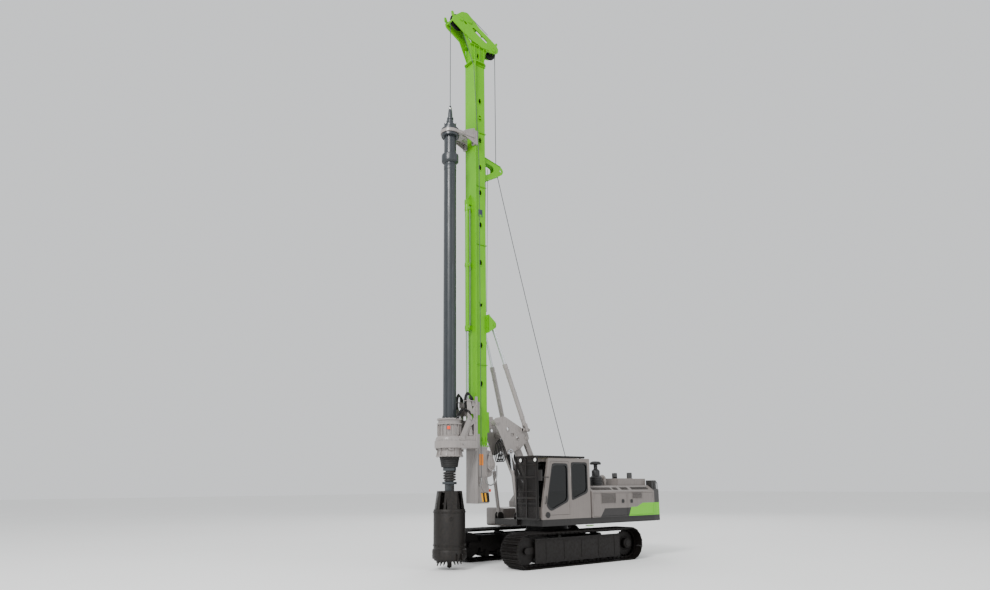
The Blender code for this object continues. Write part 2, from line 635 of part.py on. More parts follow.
def cab():
    """The hollow cab with its window openings, door, panes, seat and guards."""
    mid_y = (CAB_LEFT_Y + CAB_RIGHT_Y) / 2
    width = CAB_LEFT_Y - CAB_RIGHT_Y
    shell = sheet("cab_shell", cab_outline(0), mid_y, width, "house_grey", UPPER)
    cuts = [sheet("cab_room", cab_outline(CAB_WALL), mid_y, width - 2 * CAB_WALL, None, UPPER)]
    door = door_outline(0)
    cuts.append(sheet("door_opening", door, CAB_LEFT_Y, 4 * CAB_WALL, None, UPPER))
    cuts.append(sheet("rear_side_opening", rear_side_outline(0), CAB_LEFT_Y, 4 * CAB_WALL, None, UPPER))
    right = right_outline(0)
    cuts.append(sheet("right_opening", right, CAB_RIGHT_Y, 4 * CAB_WALL, None, UPPER))
    cuts.append(block("rear_opening", (CAB_REAR_X - 0.1, CAB_REAR_X + 0.1),
                      (CAB_RIGHT_Y + 0.14, CAB_LEFT_Y - 0.14), (2.15, 2.85), None, UPPER))
    cuts.append(windscreen_slab("windscreen_opening", 0.0, 0.30, None))
    cut(shell, *cuts)
    pane_y = CAB_WALL / 2
    sheet("left_pane", rear_side_outline(GAP), CAB_LEFT_Y - pane_y, GLASS, "glass_dark", UPPER)
    sheet("right_pane", right_outline(GAP), CAB_RIGHT_Y + pane_y, GLASS, "glass_dark", UPPER)
    x = CAB_REAR_X + pane_y
    block("rear_pane", (x - GLASS / 2, x + GLASS / 2), (CAB_RIGHT_Y + 0.14 + GAP, CAB_LEFT_Y - 0.14 - GAP),
          (2.15 + GAP, 2.85 - GAP), "glass_dark", UPPER)
    windscreen_slab("windscreen", GAP, GLASS, "glass_dark")
    hinge_x = PILLAR_X + 0.06
    hinge = pivot("cab_door_hinge", (hinge_x, CAB_LEFT_Y + HINGE_OUT, DECK_TOP_Z), UPPER)
    straps = []
    for k, strap_z in enumerate((1.60, 2.62)):
        straps += hinge_strap(f"cab_strap_{k}", hinge_x, PILLAR_X, CAB_LEFT_Y, strap_z)
    join(shell, *straps)
    leaf = sheet("cab_door", door_outline(CLEAR), CAB_LEFT_Y - CAB_WALL / 2, CAB_WALL, "house_grey", hinge)
    cut(leaf, sheet("door_window", door_window(0), CAB_LEFT_Y, 4 * CAB_WALL, None, hinge))
    sheet("door_pane", door_window(GAP), CAB_LEFT_Y - CAB_WALL / 2, GLASS, "glass_dark", hinge)
    seat = block("seat", (0.10, 0.62), (0.80, 1.28), (DECK_TOP_Z + CAB_WALL + 2 * GAP, 1.78), "seat_cloth",
                 UPPER)
    join(seat, block("seat_back", (0.0, 0.16), (0.80, 1.28), (1.60, 2.50), None, UPPER))
    console = block("console", (0.15, 1.28), (CAB_RIGHT_Y + CAB_WALL + GAP, 0.76),
                    (DECK_TOP_Z + CAB_WALL + 2 * GAP, 1.90), "band_black", UPPER)
    bevel(console, 0.03)


def door_outline(inset):
    i = inset
    return [(PILLAR_X + 0.04 + i, 1.40 + i), (CAB_FRONT_X - 0.10 - i, 1.40 + i),
            (CAB_FRONT_X - 0.10 - i, 1.62),
            (CAB_ROOF_X - 0.08 - i, CAB_TOP_Z - 0.09 - i), (PILLAR_X + 0.04 + i, CAB_TOP_Z - 0.09 - i)]


def door_window(inset):
    i = inset
    return [(PILLAR_X + 0.10 + i, 1.78 + i), (CAB_FRONT_X - 0.33, 1.52 + i), (CAB_FRONT_X - 0.17 - i, 1.66),
            (CAB_ROOF_X - 0.14 - i, CAB_TOP_Z - 0.16 - i), (PILLAR_X + 0.10 + i, CAB_TOP_Z - 0.16 - i)]


def rear_side_outline(inset):
    i = inset
    return [(CAB_REAR_X + 0.11 + i, 2.02 + i), (PILLAR_X - 0.05 - i, 1.80 + i),
            (PILLAR_X - 0.05 - i, CAB_TOP_Z - 0.12 - i), (CAB_REAR_X + 0.11 + i, CAB_TOP_Z - 0.12 - i)]


def right_outline(inset):
    i = inset
    return [(CAB_REAR_X + 0.15 + i, 1.95 + i), (CAB_FRONT_X - 0.22 - i, 1.95 + i),
            (CAB_ROOF_X - 0.15 - i, CAB_TOP_Z - 0.13 - i), (CAB_REAR_X + 0.15 + i, CAB_TOP_Z - 0.13 - i)]


def windscreen_slab(name, inset, thick, colour):
    """A slab in the middle of the cab's sloped front wall, as long and wide as the windscreen."""
    low = Vector((CAB_FRONT_X, DECK_TOP_Z + 0.30))
    high = Vector((CAB_ROOF_X, CAB_TOP_Z))
    run = (high - low).normalized()
    inward = Vector((-run.y, run.x))
    middle = inward * CAB_WALL / 2
    a = low + run * (0.06 + inset) + middle
    b = high - run * (0.10 + inset) + middle
    half = inward * thick / 2
    outline = [tuple(p) for p in (a - half, a + half, b + half, b - half)]
    low_y, high_y = CAB_RIGHT_Y + 0.07 + inset, CAB_LEFT_Y - 0.07 - inset
    return sheet(name, outline, (low_y + high_y) / 2, high_y - low_y, colour, UPPER)


def cab_guard():
    """The mesh guard ahead of the windscreen and the roof bars that carry it."""
    low_y, high_y = CAB_RIGHT_Y + 0.01, CAB_LEFT_Y - 0.05
    back, front = CAB_FRONT_X + 0.09, CAB_FRONT_X + 0.14
    foot_z, head_z = DECK_TOP_Z + GAP, CAB_TOP_Z + 0.07
    guard = block("cab_guard", (back, front), (low_y, high_y), (foot_z, head_z), "band_black", UPPER)
    rows, columns = 3, 2
    cuts = []
    for r in range(rows):
        for c in range(columns):
            y0 = low_y + 0.05 + c * (high_y - low_y - 0.05) / columns
            y1 = y0 + (high_y - low_y - 0.05) / columns - 0.05
            z0 = foot_z + 0.06 + r * (head_z - foot_z - 0.06) / rows
            z1 = z0 + (head_z - foot_z - 0.06) / rows - 0.06
            cuts.append(block(f"guard_window_{r}_{c}", (back - 0.1, front + 0.1), (y0, y1), (z0, z1), None,
                              UPPER))
    cut(guard, *cuts)
    pieces = []
    for k, y in enumerate((low_y + 0.025, high_y - 0.025)):
        pieces.append(block(f"roof_bar_{k}", (CAB_REAR_X + 0.15, back + 0.02), (y - 0.025, y + 0.025),
                            (CAB_TOP_Z + 0.01, head_z), None, UPPER))
        pieces.append(block(f"guard_foot_{k}", (CAB_FRONT_X + GAP, back + 0.02), (y - 0.02, y + 0.02),
                            (foot_z, foot_z + 0.05), None, UPPER))
        for j, x in enumerate((-0.1, 0.9)):
            pieces.append(block(f"roof_foot_{k}_{j}", (x, x + 0.05), (y - 0.02, y + 0.02),
                                (CAB_TOP_Z + GAP, CAB_TOP_Z + 0.03), None, UPPER))
    join(guard, *pieces)
    mirror_x = CAB_FRONT_X + 0.10
    arm = (1.305, CAB_LEFT_Y + 0.06, 2.45)
    mirror = block("mirror", (mirror_x, mirror_x + 0.05), (CAB_LEFT_Y + 0.03, CAB_LEFT_Y + 0.15),
                   (2.35, 2.65),
                   "band_black", UPPER)
    join(mirror, rod("mirror_arm", (mirror_x + 0.02, arm[1], arm[2]), arm, 0.012, None, UPPER, sides=12),
         rod("mirror_foot", (arm[0], arm[1] + 0.005, arm[2]), (arm[0], CAB_LEFT_Y + GAP, arm[2]), 0.014,
             None, UPPER,
             sides=12))


# ------------------------------------------------------------------ boom linkage
TRIANGLE = pivot("boom_head_axis", (BOOM_HEAD[0], 0, BOOM_HEAD[1]), BOOM)
LINK_HEAD = (LINK_FOOT[0] + BOOM_HEAD[0] - BOOM_FOOT[0], LINK_FOOT[1] + BOOM_HEAD[1] - BOOM_FOOT[1])
HEAD = pivot("rake_axis", (MAST_PIVOT[0], 0, MAST_PIVOT[1]), TRIANGLE)
TILT_X = 2.33
MAST = pivot("tilt_axis", (TILT_X, 0, MAST_PIVOT[1]), HEAD)


def bore(name, at, y, length, on):
    """A round cutter for a pin, across the machine."""
    return rod(name, (at[0], y - length / 2, at[1]), (at[0], y + length / 2, at[1]), PIN_RADIUS + PIN_FIT,
               None, on)


def link_pair(name, foot, head, radius, on):
    """Two equal bars side by side, joined by a tube, with bored ends."""
    bars = []
    for key, side in SIDES:
        y = side * ARM_Y
        colour = "frame_grey" if side > 0 else None
        label = name if side > 0 else f"{name}_{key}"
        bars.append(sheet(label, capsule(foot, head, radius), y, ARM_THICK, colour, on))
    middle = ((foot[0] + head[0]) / 2, (foot[1] + head[1]) / 2)
    tube = rod(name + "_tube", (middle[0], -ARM_Y, middle[1]), (middle[0], ARM_Y, middle[1]), radius * 0.75,
               None, on)
    join(bars[0], bars[1], tube)
    for key, side in SIDES:
        for end, at in (("foot", foot), ("head", head)):
            cut(bars[0], bore(f"{name}_{end}_bore_{key}", at, side * ARM_Y, ARM_THICK + 0.02, on))
    return bars[0]


def boom():
    link_pair("boom_arms", BOOM_FOOT, BOOM_HEAD, 0.11, BOOM)
    link_pair("rear_links", LINK_FOOT, LINK_HEAD, 0.075, LINKS)


def triangle():
    """The two side plates that carry the mast, joined by their pins and a tube."""
    outline = [(2.26, 3.98), (2.30, 4.08), (2.24, 4.16), (1.95, 4.22), (1.88, 4.21), (1.24, 3.90),
               (1.10, 3.88),
               (1.00, 3.70), (1.00, 3.56), (1.08, 3.52), (1.36, 3.25), (1.46, 3.26), (1.68, 3.12),
               (1.80, 3.12),
               (1.84, 3.22), (1.96, 3.50)]
    frame = sheet("triangle_frame", outline, PLATE_Y, PLATE_THICK, "frame_grey", TRIANGLE)
    other = sheet("triangle_right", outline, -PLATE_Y, PLATE_THICK, None, TRIANGLE)
    half = PLATE_Y + PLATE_THICK / 2
    tubes = [rod("boom_head_pin", (BOOM_HEAD[0], -half, BOOM_HEAD[1]), (BOOM_HEAD[0], half, BOOM_HEAD[1]),
                 PIN_RADIUS, None, TRIANGLE),
             rod("link_head_pin", (LINK_HEAD[0], -half, LINK_HEAD[1]), (LINK_HEAD[0], half, LINK_HEAD[1]),
                 PIN_RADIUS, None, TRIANGLE),
             rod("mast_pivot_pin", (MAST_PIVOT[0], -half, MAST_PIVOT[1]),
                 (MAST_PIVOT[0], half, MAST_PIVOT[1]),
                 PIN_RADIUS, None, TRIANGLE),
             rod("triangle_tube", (1.62, -half, 3.72), (1.62, half, 3.72), 0.10, None, TRIANGLE)]
    for name, side in SIDES:
        outer = side * (LUFF_Y + 0.035 + 0.012)
        tubes.append(rod("luff_head_pin_" + name, (LUFF_HEAD[0], side * PLATE_Y, LUFF_HEAD[1]),
                         (LUFF_HEAD[0], outer, LUFF_HEAD[1]), LUFF_PIN, None, TRIANGLE))
        for k, x in enumerate((CYL_FOOT[0] - 0.099, CYL_FOOT[0] + 0.099)):
            arm = sheet(f"cardan_ear_{name}_{k}", circle((CYL_FOOT_Y * side, CYL_FOOT[1]), 0.055, 16), x,
                        0.025,
                        None, TRIANGLE, facing="yz")
            bridge = block(f"cardan_bridge_{name}_{k}", (x - 0.0125, x + 0.0125),
                           mirrored(PLATE_Y, CYL_FOOT_Y, side), (CYL_FOOT[1] - 0.05, CYL_FOOT[1] + 0.05),
                           None,
                           TRIANGLE)
            tubes += [arm, bridge]
        tubes.append(rod("cardan_pin_" + name, (CYL_FOOT[0] - 0.104, CYL_FOOT_Y * side, CYL_FOOT[1]),
                         (CYL_FOOT[0] + 0.104, CYL_FOOT_Y * side, CYL_FOOT[1]), 0.022, None, TRIANGLE,
                         sides=16))
    join(frame, other, *tubes)


def cross_head():
    """The block between triangle and mast: a hub across, a turning plate ahead of it."""
    half = PLATE_Y - PLATE_THICK / 2 - CLEAR
    x, z = MAST_PIVOT
    hub = rod("cross_head", (x, -half, z), (x, half, z), 0.095, "frame_grey", HEAD)
    join(hub, block("cross_plate", (x, TILT_X), (-0.19, 0.19), (z - 0.17, z + 0.17), None, HEAD),
         rod("tilt_pin", (x + 0.08, 0, z), (MAST_REAR_X - 0.008, 0, z), 0.07, None, HEAD))
    cut(hub, rod("rake_bore", (x, -0.5, z), (x, 0.5, z), PIN_RADIUS + PIN_FIT, None, HEAD))


def aim(start, end, share):
    """The point at a share of the way from start to end."""
    return Vector(start).lerp(Vector(end), share)


def luff_cylinders():
    """Two cylinders that push the triangle forwards; their rod eyes sit on the head pins."""
    for name, side in SIDES:
        y = side * LUFF_Y
        foot = (LUFF_FOOT[0], y, LUFF_FOOT[1])
        head = (LUFF_HEAD[0], y, LUFF_HEAD[1])
        axis = pivot("luff_axis_" + name, foot, UPPER)
        barrel = rod("luff_barrel_" + name, aim(foot, head, 0.03), aim(foot, head, 0.70), LUFF_BARREL_RADIUS,
                     "frame_grey", axis)
        eye = rod("luff_eye_" + name, (foot[0], y - 0.035, foot[2]), (foot[0], y + 0.035, foot[2]), 0.06,
                  None, axis)
        join(barrel, eye)
        cut(barrel, rod("luff_foot_bore_" + name, (foot[0], y - 0.06, foot[2]), (foot[0], y + 0.06, foot[2]),
                        LUFF_PIN + PIN_FIT, None, axis),
            rod("luff_bore_" + name, aim(foot, head, 0.12), aim(foot, head, 0.75), 0.032 + PIN_FIT, None,
                axis))
        piston = rod("luff_rod_" + name, aim(foot, head, 0.30), aim(foot, head, 0.968), 0.032, "chrome",
                     axis)
        join(piston, rod("luff_rod_eye_" + name, (head[0], y - 0.03, head[2]), (head[0], y + 0.03, head[2]),
                         0.072,
                         None, axis))
        cut(piston, rod("luff_head_bore_" + name, (head[0], y - 0.06, head[2]), (head[0], y + 0.06, head[2]),
                        LUFF_PIN + OPEN_EYE, None, axis))


def mast_cylinders():
    """Two long cylinders that hold the mast, each on a cardan block behind the triangle."""
    for name, side in SIDES:
        foot = (CYL_FOOT[0], side * CYL_FOOT_Y, CYL_FOOT[1])
        head = (CYL_HEAD[0], side * CYL_HEAD_Y, CYL_HEAD[1])
        yoke_axis = pivot("cardan_axis_" + name, foot, TRIANGLE)
        yoke = rod("cardan_block_" + name, (foot[0], foot[1] - 0.047, foot[2]), (foot[0], foot[1] + 0.047,
                                                                                 foot[2]),
                   0.05, "frame_grey", yoke_axis)
        cut(yoke, rod("cardan_bore_" + name, (foot[0] - 0.1, foot[1], foot[2]),
                      (foot[0] + 0.1, foot[1], foot[2]),
                      0.022 + PIN_FIT, None, yoke_axis, sides=16))
        axis = pivot("mast_cylinder_axis_" + name, foot, yoke_axis)
        barrel = rod("mast_barrel_" + name, aim(foot, head, 0.05), aim(foot, head, 0.62), 0.065,
                     "frame_grey", axis)
        cheeks = []
        for k, shift in enumerate((-1, 1)):
            y = foot[1] + shift * (0.047 + SLIDE_FIT + 0.009)
            top = aim(foot, head, 0.045)
            cheeks.append(sheet(f"barrel_cheek_{name}_{k}", capsule((foot[0], foot[2]), (top.x, top.z), 0.05,
                                                                    6), y,
                                0.018, None, axis))
        base = aim(foot, head, 0.045)
        cheeks.append(block("barrel_fork_" + name, (base.x - 0.05, base.x + 0.05),
                            (foot[1] - 0.068, foot[1] + 0.068),
                            (base.z - 0.035, base.z + 0.045), None, axis))
        join(barrel, *cheeks)
        cut(barrel, rod("mast_barrel_bore_" + name, aim(foot, head, 0.12), aim(foot, head, 0.7),
                        0.045 + PIN_FIT,
                        None, axis))
        piston = rod("mast_rod_" + name, aim(foot, head, 0.25), aim(foot, head, 0.985), 0.045, "chrome",
                     axis)
        join(piston, rod("mast_rod_eye_" + name, (head[0], head[1] - 0.04, head[2]),
                         (head[0], head[1] + 0.04, head[2]), 0.075, None, axis))


# ------------------------------------------------------------------ mast
def mast_section(name, low, high, colour):
    """A hollow box with a wider front plate, whose edges are the drive's rails."""
    outer = [(MAST_REAR_X, -MAST_HALF), (MAST_FRONT_X - RAIL_THICK, -MAST_HALF),
             (MAST_FRONT_X - RAIL_THICK, -RAIL_HALF), (MAST_FRONT_X, -RAIL_HALF), (MAST_FRONT_X, RAIL_HALF),
             (MAST_FRONT_X - RAIL_THICK, RAIL_HALF), (MAST_FRONT_X - RAIL_THICK, MAST_HALF),
             (MAST_REAR_X, MAST_HALF)]
    wall = MAST_WALL
    front = MAST_FRONT_X - RAIL_THICK
    inner = [(MAST_REAR_X + wall, -MAST_HALF + wall), (front, -MAST_HALF + wall), (front, MAST_HALF - wall),
             (MAST_REAR_X + wall, MAST_HALF - wall)]
    return sheet(name, outer, (low + high) / 2, high - low, colour, MAST, facing="xy", holes=(inner,))


def mast():
    lower = mast_section("mast_lower", MAST_BOTTOM_Z, MAST_JOINT_Z - GAP, "frame_grey")
    join(lower, block("mast_tail_box", (MAST_REAR_X - 0.20, MAST_REAR_X + 0.005),
                      (0.04 - MAST_HALF, MAST_HALF - 0.04),
                      (MAST_JOINT_Z - 0.88, MAST_JOINT_Z - 0.08), None, MAST))
    main = mast_section("mast_main", MAST_JOINT_Z, MAST_TOP_Z, "mast_green")
    x, z = MAST_PIVOT
    seat_x = (TILT_X + CLEAR, MAST_REAR_X + 0.01)
    pieces = [block("tilt_seat", seat_x, (-MAST_HALF, MAST_HALF), (z - 0.30, z + 0.30), None, MAST)]
    eye_x, eye_z = CYL_HEAD
    for name, side in SIDES:
        for k, shift in enumerate((-1, 1)):
            y = side * CYL_HEAD_Y + shift * (0.115 if shift == side else 0.09)
            ear = [(eye_x - 0.07, eye_z - 0.07), (MAST_REAR_X + 0.01, eye_z - 0.25),
                   (MAST_REAR_X + 0.01, eye_z + 0.30), (eye_x - 0.07, eye_z + 0.07)]
            pieces.append(sheet(f"cylinder_ear_{name}_{k}", ear, y, 0.022, None, MAST))
    ear_half = CYL_HEAD_Y + 0.13
    pieces.append(block("cylinder_ear_plate", (MAST_REAR_X - 0.03, MAST_REAR_X + 0.01),
                        (-ear_half, ear_half),
                        (eye_z - 0.25, eye_z + 0.30), None, MAST))
    for k, y in enumerate((-0.09, 0.09)):
        fin = [(MAST_REAR_X + 0.01, ROPE_FIN_Z - 0.55), (MAST_REAR_X + 0.01, ROPE_FIN_Z + 0.30),
               (MAST_REAR_X - 0.75, ROPE_FIN_Z + 0.12), (MAST_REAR_X - 0.81, ROPE_FIN_Z),
               (MAST_REAR_X - 0.75, ROPE_FIN_Z - 0.12)]
        pieces.append(sheet(f"rope_fin_{k}", fin, y, 0.02, None, MAST))
    pin_x = MAST_REAR_X - 0.69
    pieces.append(rod("rope_fin_pin", (pin_x, -0.09, ROPE_FIN_Z), (pin_x, 0.09, ROPE_FIN_Z), 0.03, None,
                      MAST,
                      sides=16))
    pieces.append(block("crowd_top", (MAST_FRONT_X - 0.01, CROWD_X + 0.06), (-0.06, 0.06),
                        (CROWD_TOP_Z + GAP, CROWD_TOP_Z + 0.16), None, MAST))
    join(main, *pieces)
    cut(main, rod("tilt_bore", (TILT_X - 0.1, 0, z), (MAST_REAR_X + 0.05, 0, z), 0.07 + PIN_FIT, None, MAST))
    barrel = rod("crowd_barrel", (CROWD_X, 0, CROWD_LOW_Z), (CROWD_X, 0, CROWD_TOP_Z), CROWD_BARREL_RADIUS,
                 "mast_green", MAST)
    clamps = [block(f"crowd_clamp_{k}", (MAST_FRONT_X + GAP, CROWD_X), (-0.05, 0.05), (z, z + 0.12), None,
                    MAST)
              for k, z in enumerate((CROWD_LOW_Z + 0.05, (CROWD_LOW_Z + CROWD_TOP_Z) / 2,
                                     CROWD_TOP_Z - 0.20))]
    join(barrel, *clamps)
    cut(barrel, rod("crowd_bore", (CROWD_X, 0, CROWD_LOW_Z - 0.1), (CROWD_X, 0, CROWD_TOP_Z - 0.05),
                    CROWD_ROD_RADIUS + PIN_FIT, None, MAST))


SHEAVES = {                 # name: (x, y, z, radius)
    "main_sheave": (KELLY_X - 0.26, 0.0, MAST_TOP_Z + 1.28, 0.26),
    "aux_sheave": (MAST_FRONT_X + 0.15, 0.135, MAST_TOP_Z + 1.33, 0.22),
    "rear_sheave": (MAST_REAR_X - 0.36, 0.0, MAST_TOP_Z + 0.70, 0.22),
}
SHEAVE_WIDTH = 0.07
HEAD_PLATE_Y = 0.215


def mast_head():
    """The two long cheek plates on the mast's top, with the rope sheaves between them."""
    top, tip, tail = MAST_TOP_Z, KELLY_X, MAST_REAR_X
    outline = [(MAST_REAR_X, top + GAP), (MAST_FRONT_X, top + GAP), (MAST_FRONT_X + 0.10, top + 0.70),
               (tip + 0.03, top + 1.10), (tip + 0.07, top + 1.22), (tip - 0.29, top + 1.55),
               (tip - 0.51, top + 1.60), (MAST_FRONT_X - 0.23, top + 1.25), (tail - 0.49, top + 0.90),
               (tail - 0.57, top + 0.78), (tail - 0.53, top + 0.62), (tail - 0.11, top + 0.55)]
    frame = sheet("mast_head", outline, HEAD_PLATE_Y, 0.02, "mast_green", MAST)
    pieces = [sheet("head_plate_right", outline, -HEAD_PLATE_Y, 0.02, None, MAST),
              block("head_foot", (MAST_REAR_X, MAST_FRONT_X), (-HEAD_PLATE_Y, HEAD_PLATE_Y),
                    (MAST_TOP_Z + GAP, MAST_TOP_Z + 0.10), None, MAST),
              block("head_tie", (MAST_REAR_X + 0.09, MAST_FRONT_X - 0.09), (-HEAD_PLATE_Y, HEAD_PLATE_Y),
                    (top + 0.60, top + 0.70), None, MAST)]
    for name, (x, y, z, radius) in SHEAVES.items():
        pieces.append(rod(name + "_pin", (x, -HEAD_PLATE_Y, z), (x, HEAD_PLATE_Y, z), 0.04, None, MAST))
    join(frame, *pieces)
    for name, (x, y, z, radius) in SHEAVES.items():
        axis = pivot(name + "_axis", (x, y, z), MAST)
        half = SHEAVE_WIDTH / 2
        wheel = rod(name, (x, y - half, z), (x, y + half, z), radius, "cast_iron", axis, sides=32)
        groove = turned_groove(name + "_groove", (x, y, z), radius, axis)
        cut(wheel, groove, rod(name + "_bore", (x, y - 0.1, z), (x, y + 0.1, z), 0.04 + PIN_FIT, None, axis))


def turned_groove(name, at, radius, on):
    """A ring-shaped cutter for a sheave's rope groove, spun about the wheel's axle."""
    ring = turned(name, [(radius + 0.02, 0.026), (radius + 0.02, -0.026), (radius - 0.035, -0.008),
                         (radius - 0.035, 0.008), (radius + 0.02, 0.026)], at, None, on, sides=32)
    ring.rotation_mode = "XYZ"
    ring.rotation_euler = (math.pi / 2, 0, 0)
    return ring


# ------------------------------------------------------------------ drive, kelly bar and bucket
CARRIAGE = pivot("crowd_axis", (CROWD_X, 0, CROWD_EYE_Z), MAST)
GUIDE = pivot("hoist_axis", (KELLY_X, 0, GUIDE_BOTTOM_Z), CARRIAGE)
KELLY = pivot("kelly_axis", (KELLY_X, 0, STUB_BOTTOM_Z), GUIDE)
FLOOR_THICK = 0.05
FLAP_Y = BUCKET_RIM_RADIUS + 0.035
FLAP_Z = BUCKET_BOTTOM_Z - SLIDE_FIT - FLOOR_THICK / 2
FLAP = pivot("flap_hinge", (KELLY_X, FLAP_Y, FLAP_Z), KELLY)


def rail_claws(label, low, high, on):
    """Two claws that wrap the rail edges of the mast's front plate, with running clearance."""
    claws = []
    back = MAST_FRONT_X - RAIL_THICK - SLIDE_FIT
    front = MAST_FRONT_X + SLIDE_FIT
    edge = RAIL_HALF + SLIDE_FIT
    for name, side in SIDES:
        outer = edge + 0.045
        claw = [(back - 0.04, MAST_HALF + 0.012), (back - 0.04, outer), (front + 0.06, outer),
                (front + 0.06, 0.16),
                (front, 0.16), (front, edge), (back, edge), (back, MAST_HALF + 0.012)]
        if side < 0:
            claw = [(x, -y) for x, y in reversed(claw)]
        claws.append(sheet(f"{label}_claw_{name}", claw, (low + high) / 2, high - low, None, on,
                           facing="xy"))
    return claws


def rotary_drive():
    """Gearbox and carriage: it slides on the mast's rails and turns the kelly bar."""
    low, high = DRIVE_PLATE_Z
    back = MAST_FRONT_X + CLEAR + 0.015
    outline = [(back, 0.40), (back, -0.40)] + capsule((3.02, 0), (KELLY_X, 0), 0.44, 12)[:13]
    plate = sheet("rotary_drive", outline, (low + high) / 2, high - low, "frame_grey", CARRIAGE, facing="xy")
    top = DRIVE_TOP_Z
    parts = [rod("drive_cage", (KELLY_X, 0, high - 0.02), (KELLY_X, 0, top), DRIVE_RADIUS - 0.05, None,
                 CARRIAGE,
                 sides=32),
             rod("drive_ring_top", (KELLY_X, 0, top - 0.05), (KELLY_X, 0, top), DRIVE_RADIUS, None, CARRIAGE,
                 sides=32),
             rod("drive_ring_low", (KELLY_X, 0, top - 0.17), (KELLY_X, 0, top - 0.11), DRIVE_RADIUS, None,
                 CARRIAGE,
                 sides=32),
             rod("drive_skirt", (KELLY_X, 0, FLANGE_BOTTOM_Z), (KELLY_X, 0, low + 0.02), 0.31, None,
                 CARRIAGE,
                 sides=32, end_radius=0.36)]
    parts.append(rod("drive_boot", (KELLY_X, 0, FLANGE_BOTTOM_Z + 0.02), (KELLY_X, 0, BOOT_BOTTOM_Z), 0.28,
                     None,
                     CARRIAGE, sides=32, end_radius=0.235))
    for name, side in SIDES:
        parts.append(rod("drive_motor_" + name, (3.08, side * 0.23, high - 0.02), (3.08, side * 0.23, 4.00),
                         0.105,
                         None, CARRIAGE))
        side_plate = [(2.88, low + 0.02), (3.40, low + 0.02), (3.40, high), (3.22, 3.92), (3.22, 4.66),
                      (3.12, 4.66),
                      (3.02, 4.32), (2.88, 4.62)]
        y = side * CARRIAGE_Y
        parts.append(sheet("carriage_plate_" + name, side_plate, y, CARRIAGE_THICK, None, CARRIAGE))
    parts.append(block("carriage_beam", (CROWD_X - 0.075, CROWD_X + 0.075), (-CARRIAGE_Y, CARRIAGE_Y),
                       (CROWD_EYE_Z - 0.16, CROWD_EYE_Z - 0.02), None, CARRIAGE))
    for k, (a, b) in enumerate(((low + 0.02, low + 0.42), (4.22, 4.60))):
        parts += rail_claws(f"carriage_{k}", a, b, CARRIAGE)
    join(plate, *parts)
    cut(plate, rod("kelly_bore", (KELLY_X, 0, 2.5), (KELLY_X, 0, 4.5), DRIVE_BORE, None, CARRIAGE, sides=32))
    bar = rod("crowd_rod", (CROWD_X, 0, CROWD_EYE_Z - 0.02 + GAP), (CROWD_X, 0, CROWD_LOW_Z + 1.60),
              CROWD_ROD_RADIUS, "chrome", CARRIAGE)
    join(bar, block("crowd_eye", (CROWD_X - 0.06, CROWD_X + 0.06), (-0.05, 0.05),
                    (CROWD_EYE_Z - 0.02 + GAP, CROWD_EYE_Z + 0.08), None, CARRIAGE))


def kelly_guide():
    """The yoke at the kelly bar's top: it slides on the rails and carries the bar's bearing."""
    z = GUIDE_BOTTOM_Z + GUIDE_THICK / 2
    reach = MAST_FRONT_X + 0.03
    outline = [(reach, 0.16), (reach, 0.32), (KELLY_X - 0.10, 0.30)]
    steps = 12
    for k in range(steps + 1):
        angle = math.pi / 2 - math.pi * k / steps
        outline.append((KELLY_X + 0.30 * math.cos(angle), 0.30 * math.sin(angle)))
    outline += [(KELLY_X - 0.10, -0.30), (reach, -0.32), (reach, -0.16), (CROWD_X + 0.15, -0.11),
                (CROWD_X + 0.15, 0.11)]
    outline.reverse()
    yoke = sheet("kelly_guide", outline, z, GUIDE_THICK, "frame_grey", GUIDE, facing="xy")
    join(yoke, *rail_claws("guide", GUIDE_BOTTOM_Z - 0.20, GUIDE_BOTTOM_Z + 0.25, GUIDE))
    cut(yoke, rod("guide_bore", (KELLY_X, 0, 12.5), (KELLY_X, 0, 13.5), KELLY_RADIUS + CLEAR, None, GUIDE,
                  sides=32))


def kelly_bar():
    """The telescopic bar: outer tube, collars, rope swivel on top and square stub below."""
    x = KELLY_X
    bar = rod("kelly_bar", (x, 0, KELLY_TUBE_BOTTOM_Z), (x, 0, KELLY_TOP_Z + 0.12), KELLY_RADIUS,
              "kelly_grey",
              KELLY, sides=32)
    ring_low = GUIDE_BOTTOM_Z + GUIDE_THICK + SLIDE_FIT
    parts = [rod("kelly_top_ring", (x, 0, ring_low), (x, 0, ring_low + 0.08), 0.27, None, KELLY, sides=32),
             rod("kelly_under_ring", (x, 0, GUIDE_BOTTOM_Z - CLEAR - 0.08), (x, 0, GUIDE_BOTTOM_Z - CLEAR),
                 0.27,
                 None, KELLY, sides=32),
             rod("kelly_collar", (x, 0, COLLAR_Z[0]), (x, 0, COLLAR_Z[1]), COLLAR_RADIUS, None, KELLY,
                 sides=32),
             rod("kelly_neck", (x, 0, KELLY_TOP_Z + 0.10), (x, 0, 13.40), 0.09, None, KELLY),
             rod("rope_socket", (x, 0, 13.38), (x, 0, SOCKET_TOP_Z), 0.07, None, KELLY, end_radius=0.03),
             rod("spring_tube", (x, 0, 2.30), (x, 0, KELLY_TUBE_BOTTOM_Z + 0.01), 0.165, None, KELLY),
             rod("spring_plate", (x, 0, 2.27), (x, 0, 2.34), 0.205, None, KELLY, sides=32),
             block("kelly_stub", (x - STUB_HALF, x + STUB_HALF), (-STUB_HALF, STUB_HALF),
                   (STUB_BOTTOM_Z, 2.30), None,
                   KELLY)]
    join(bar, *parts)


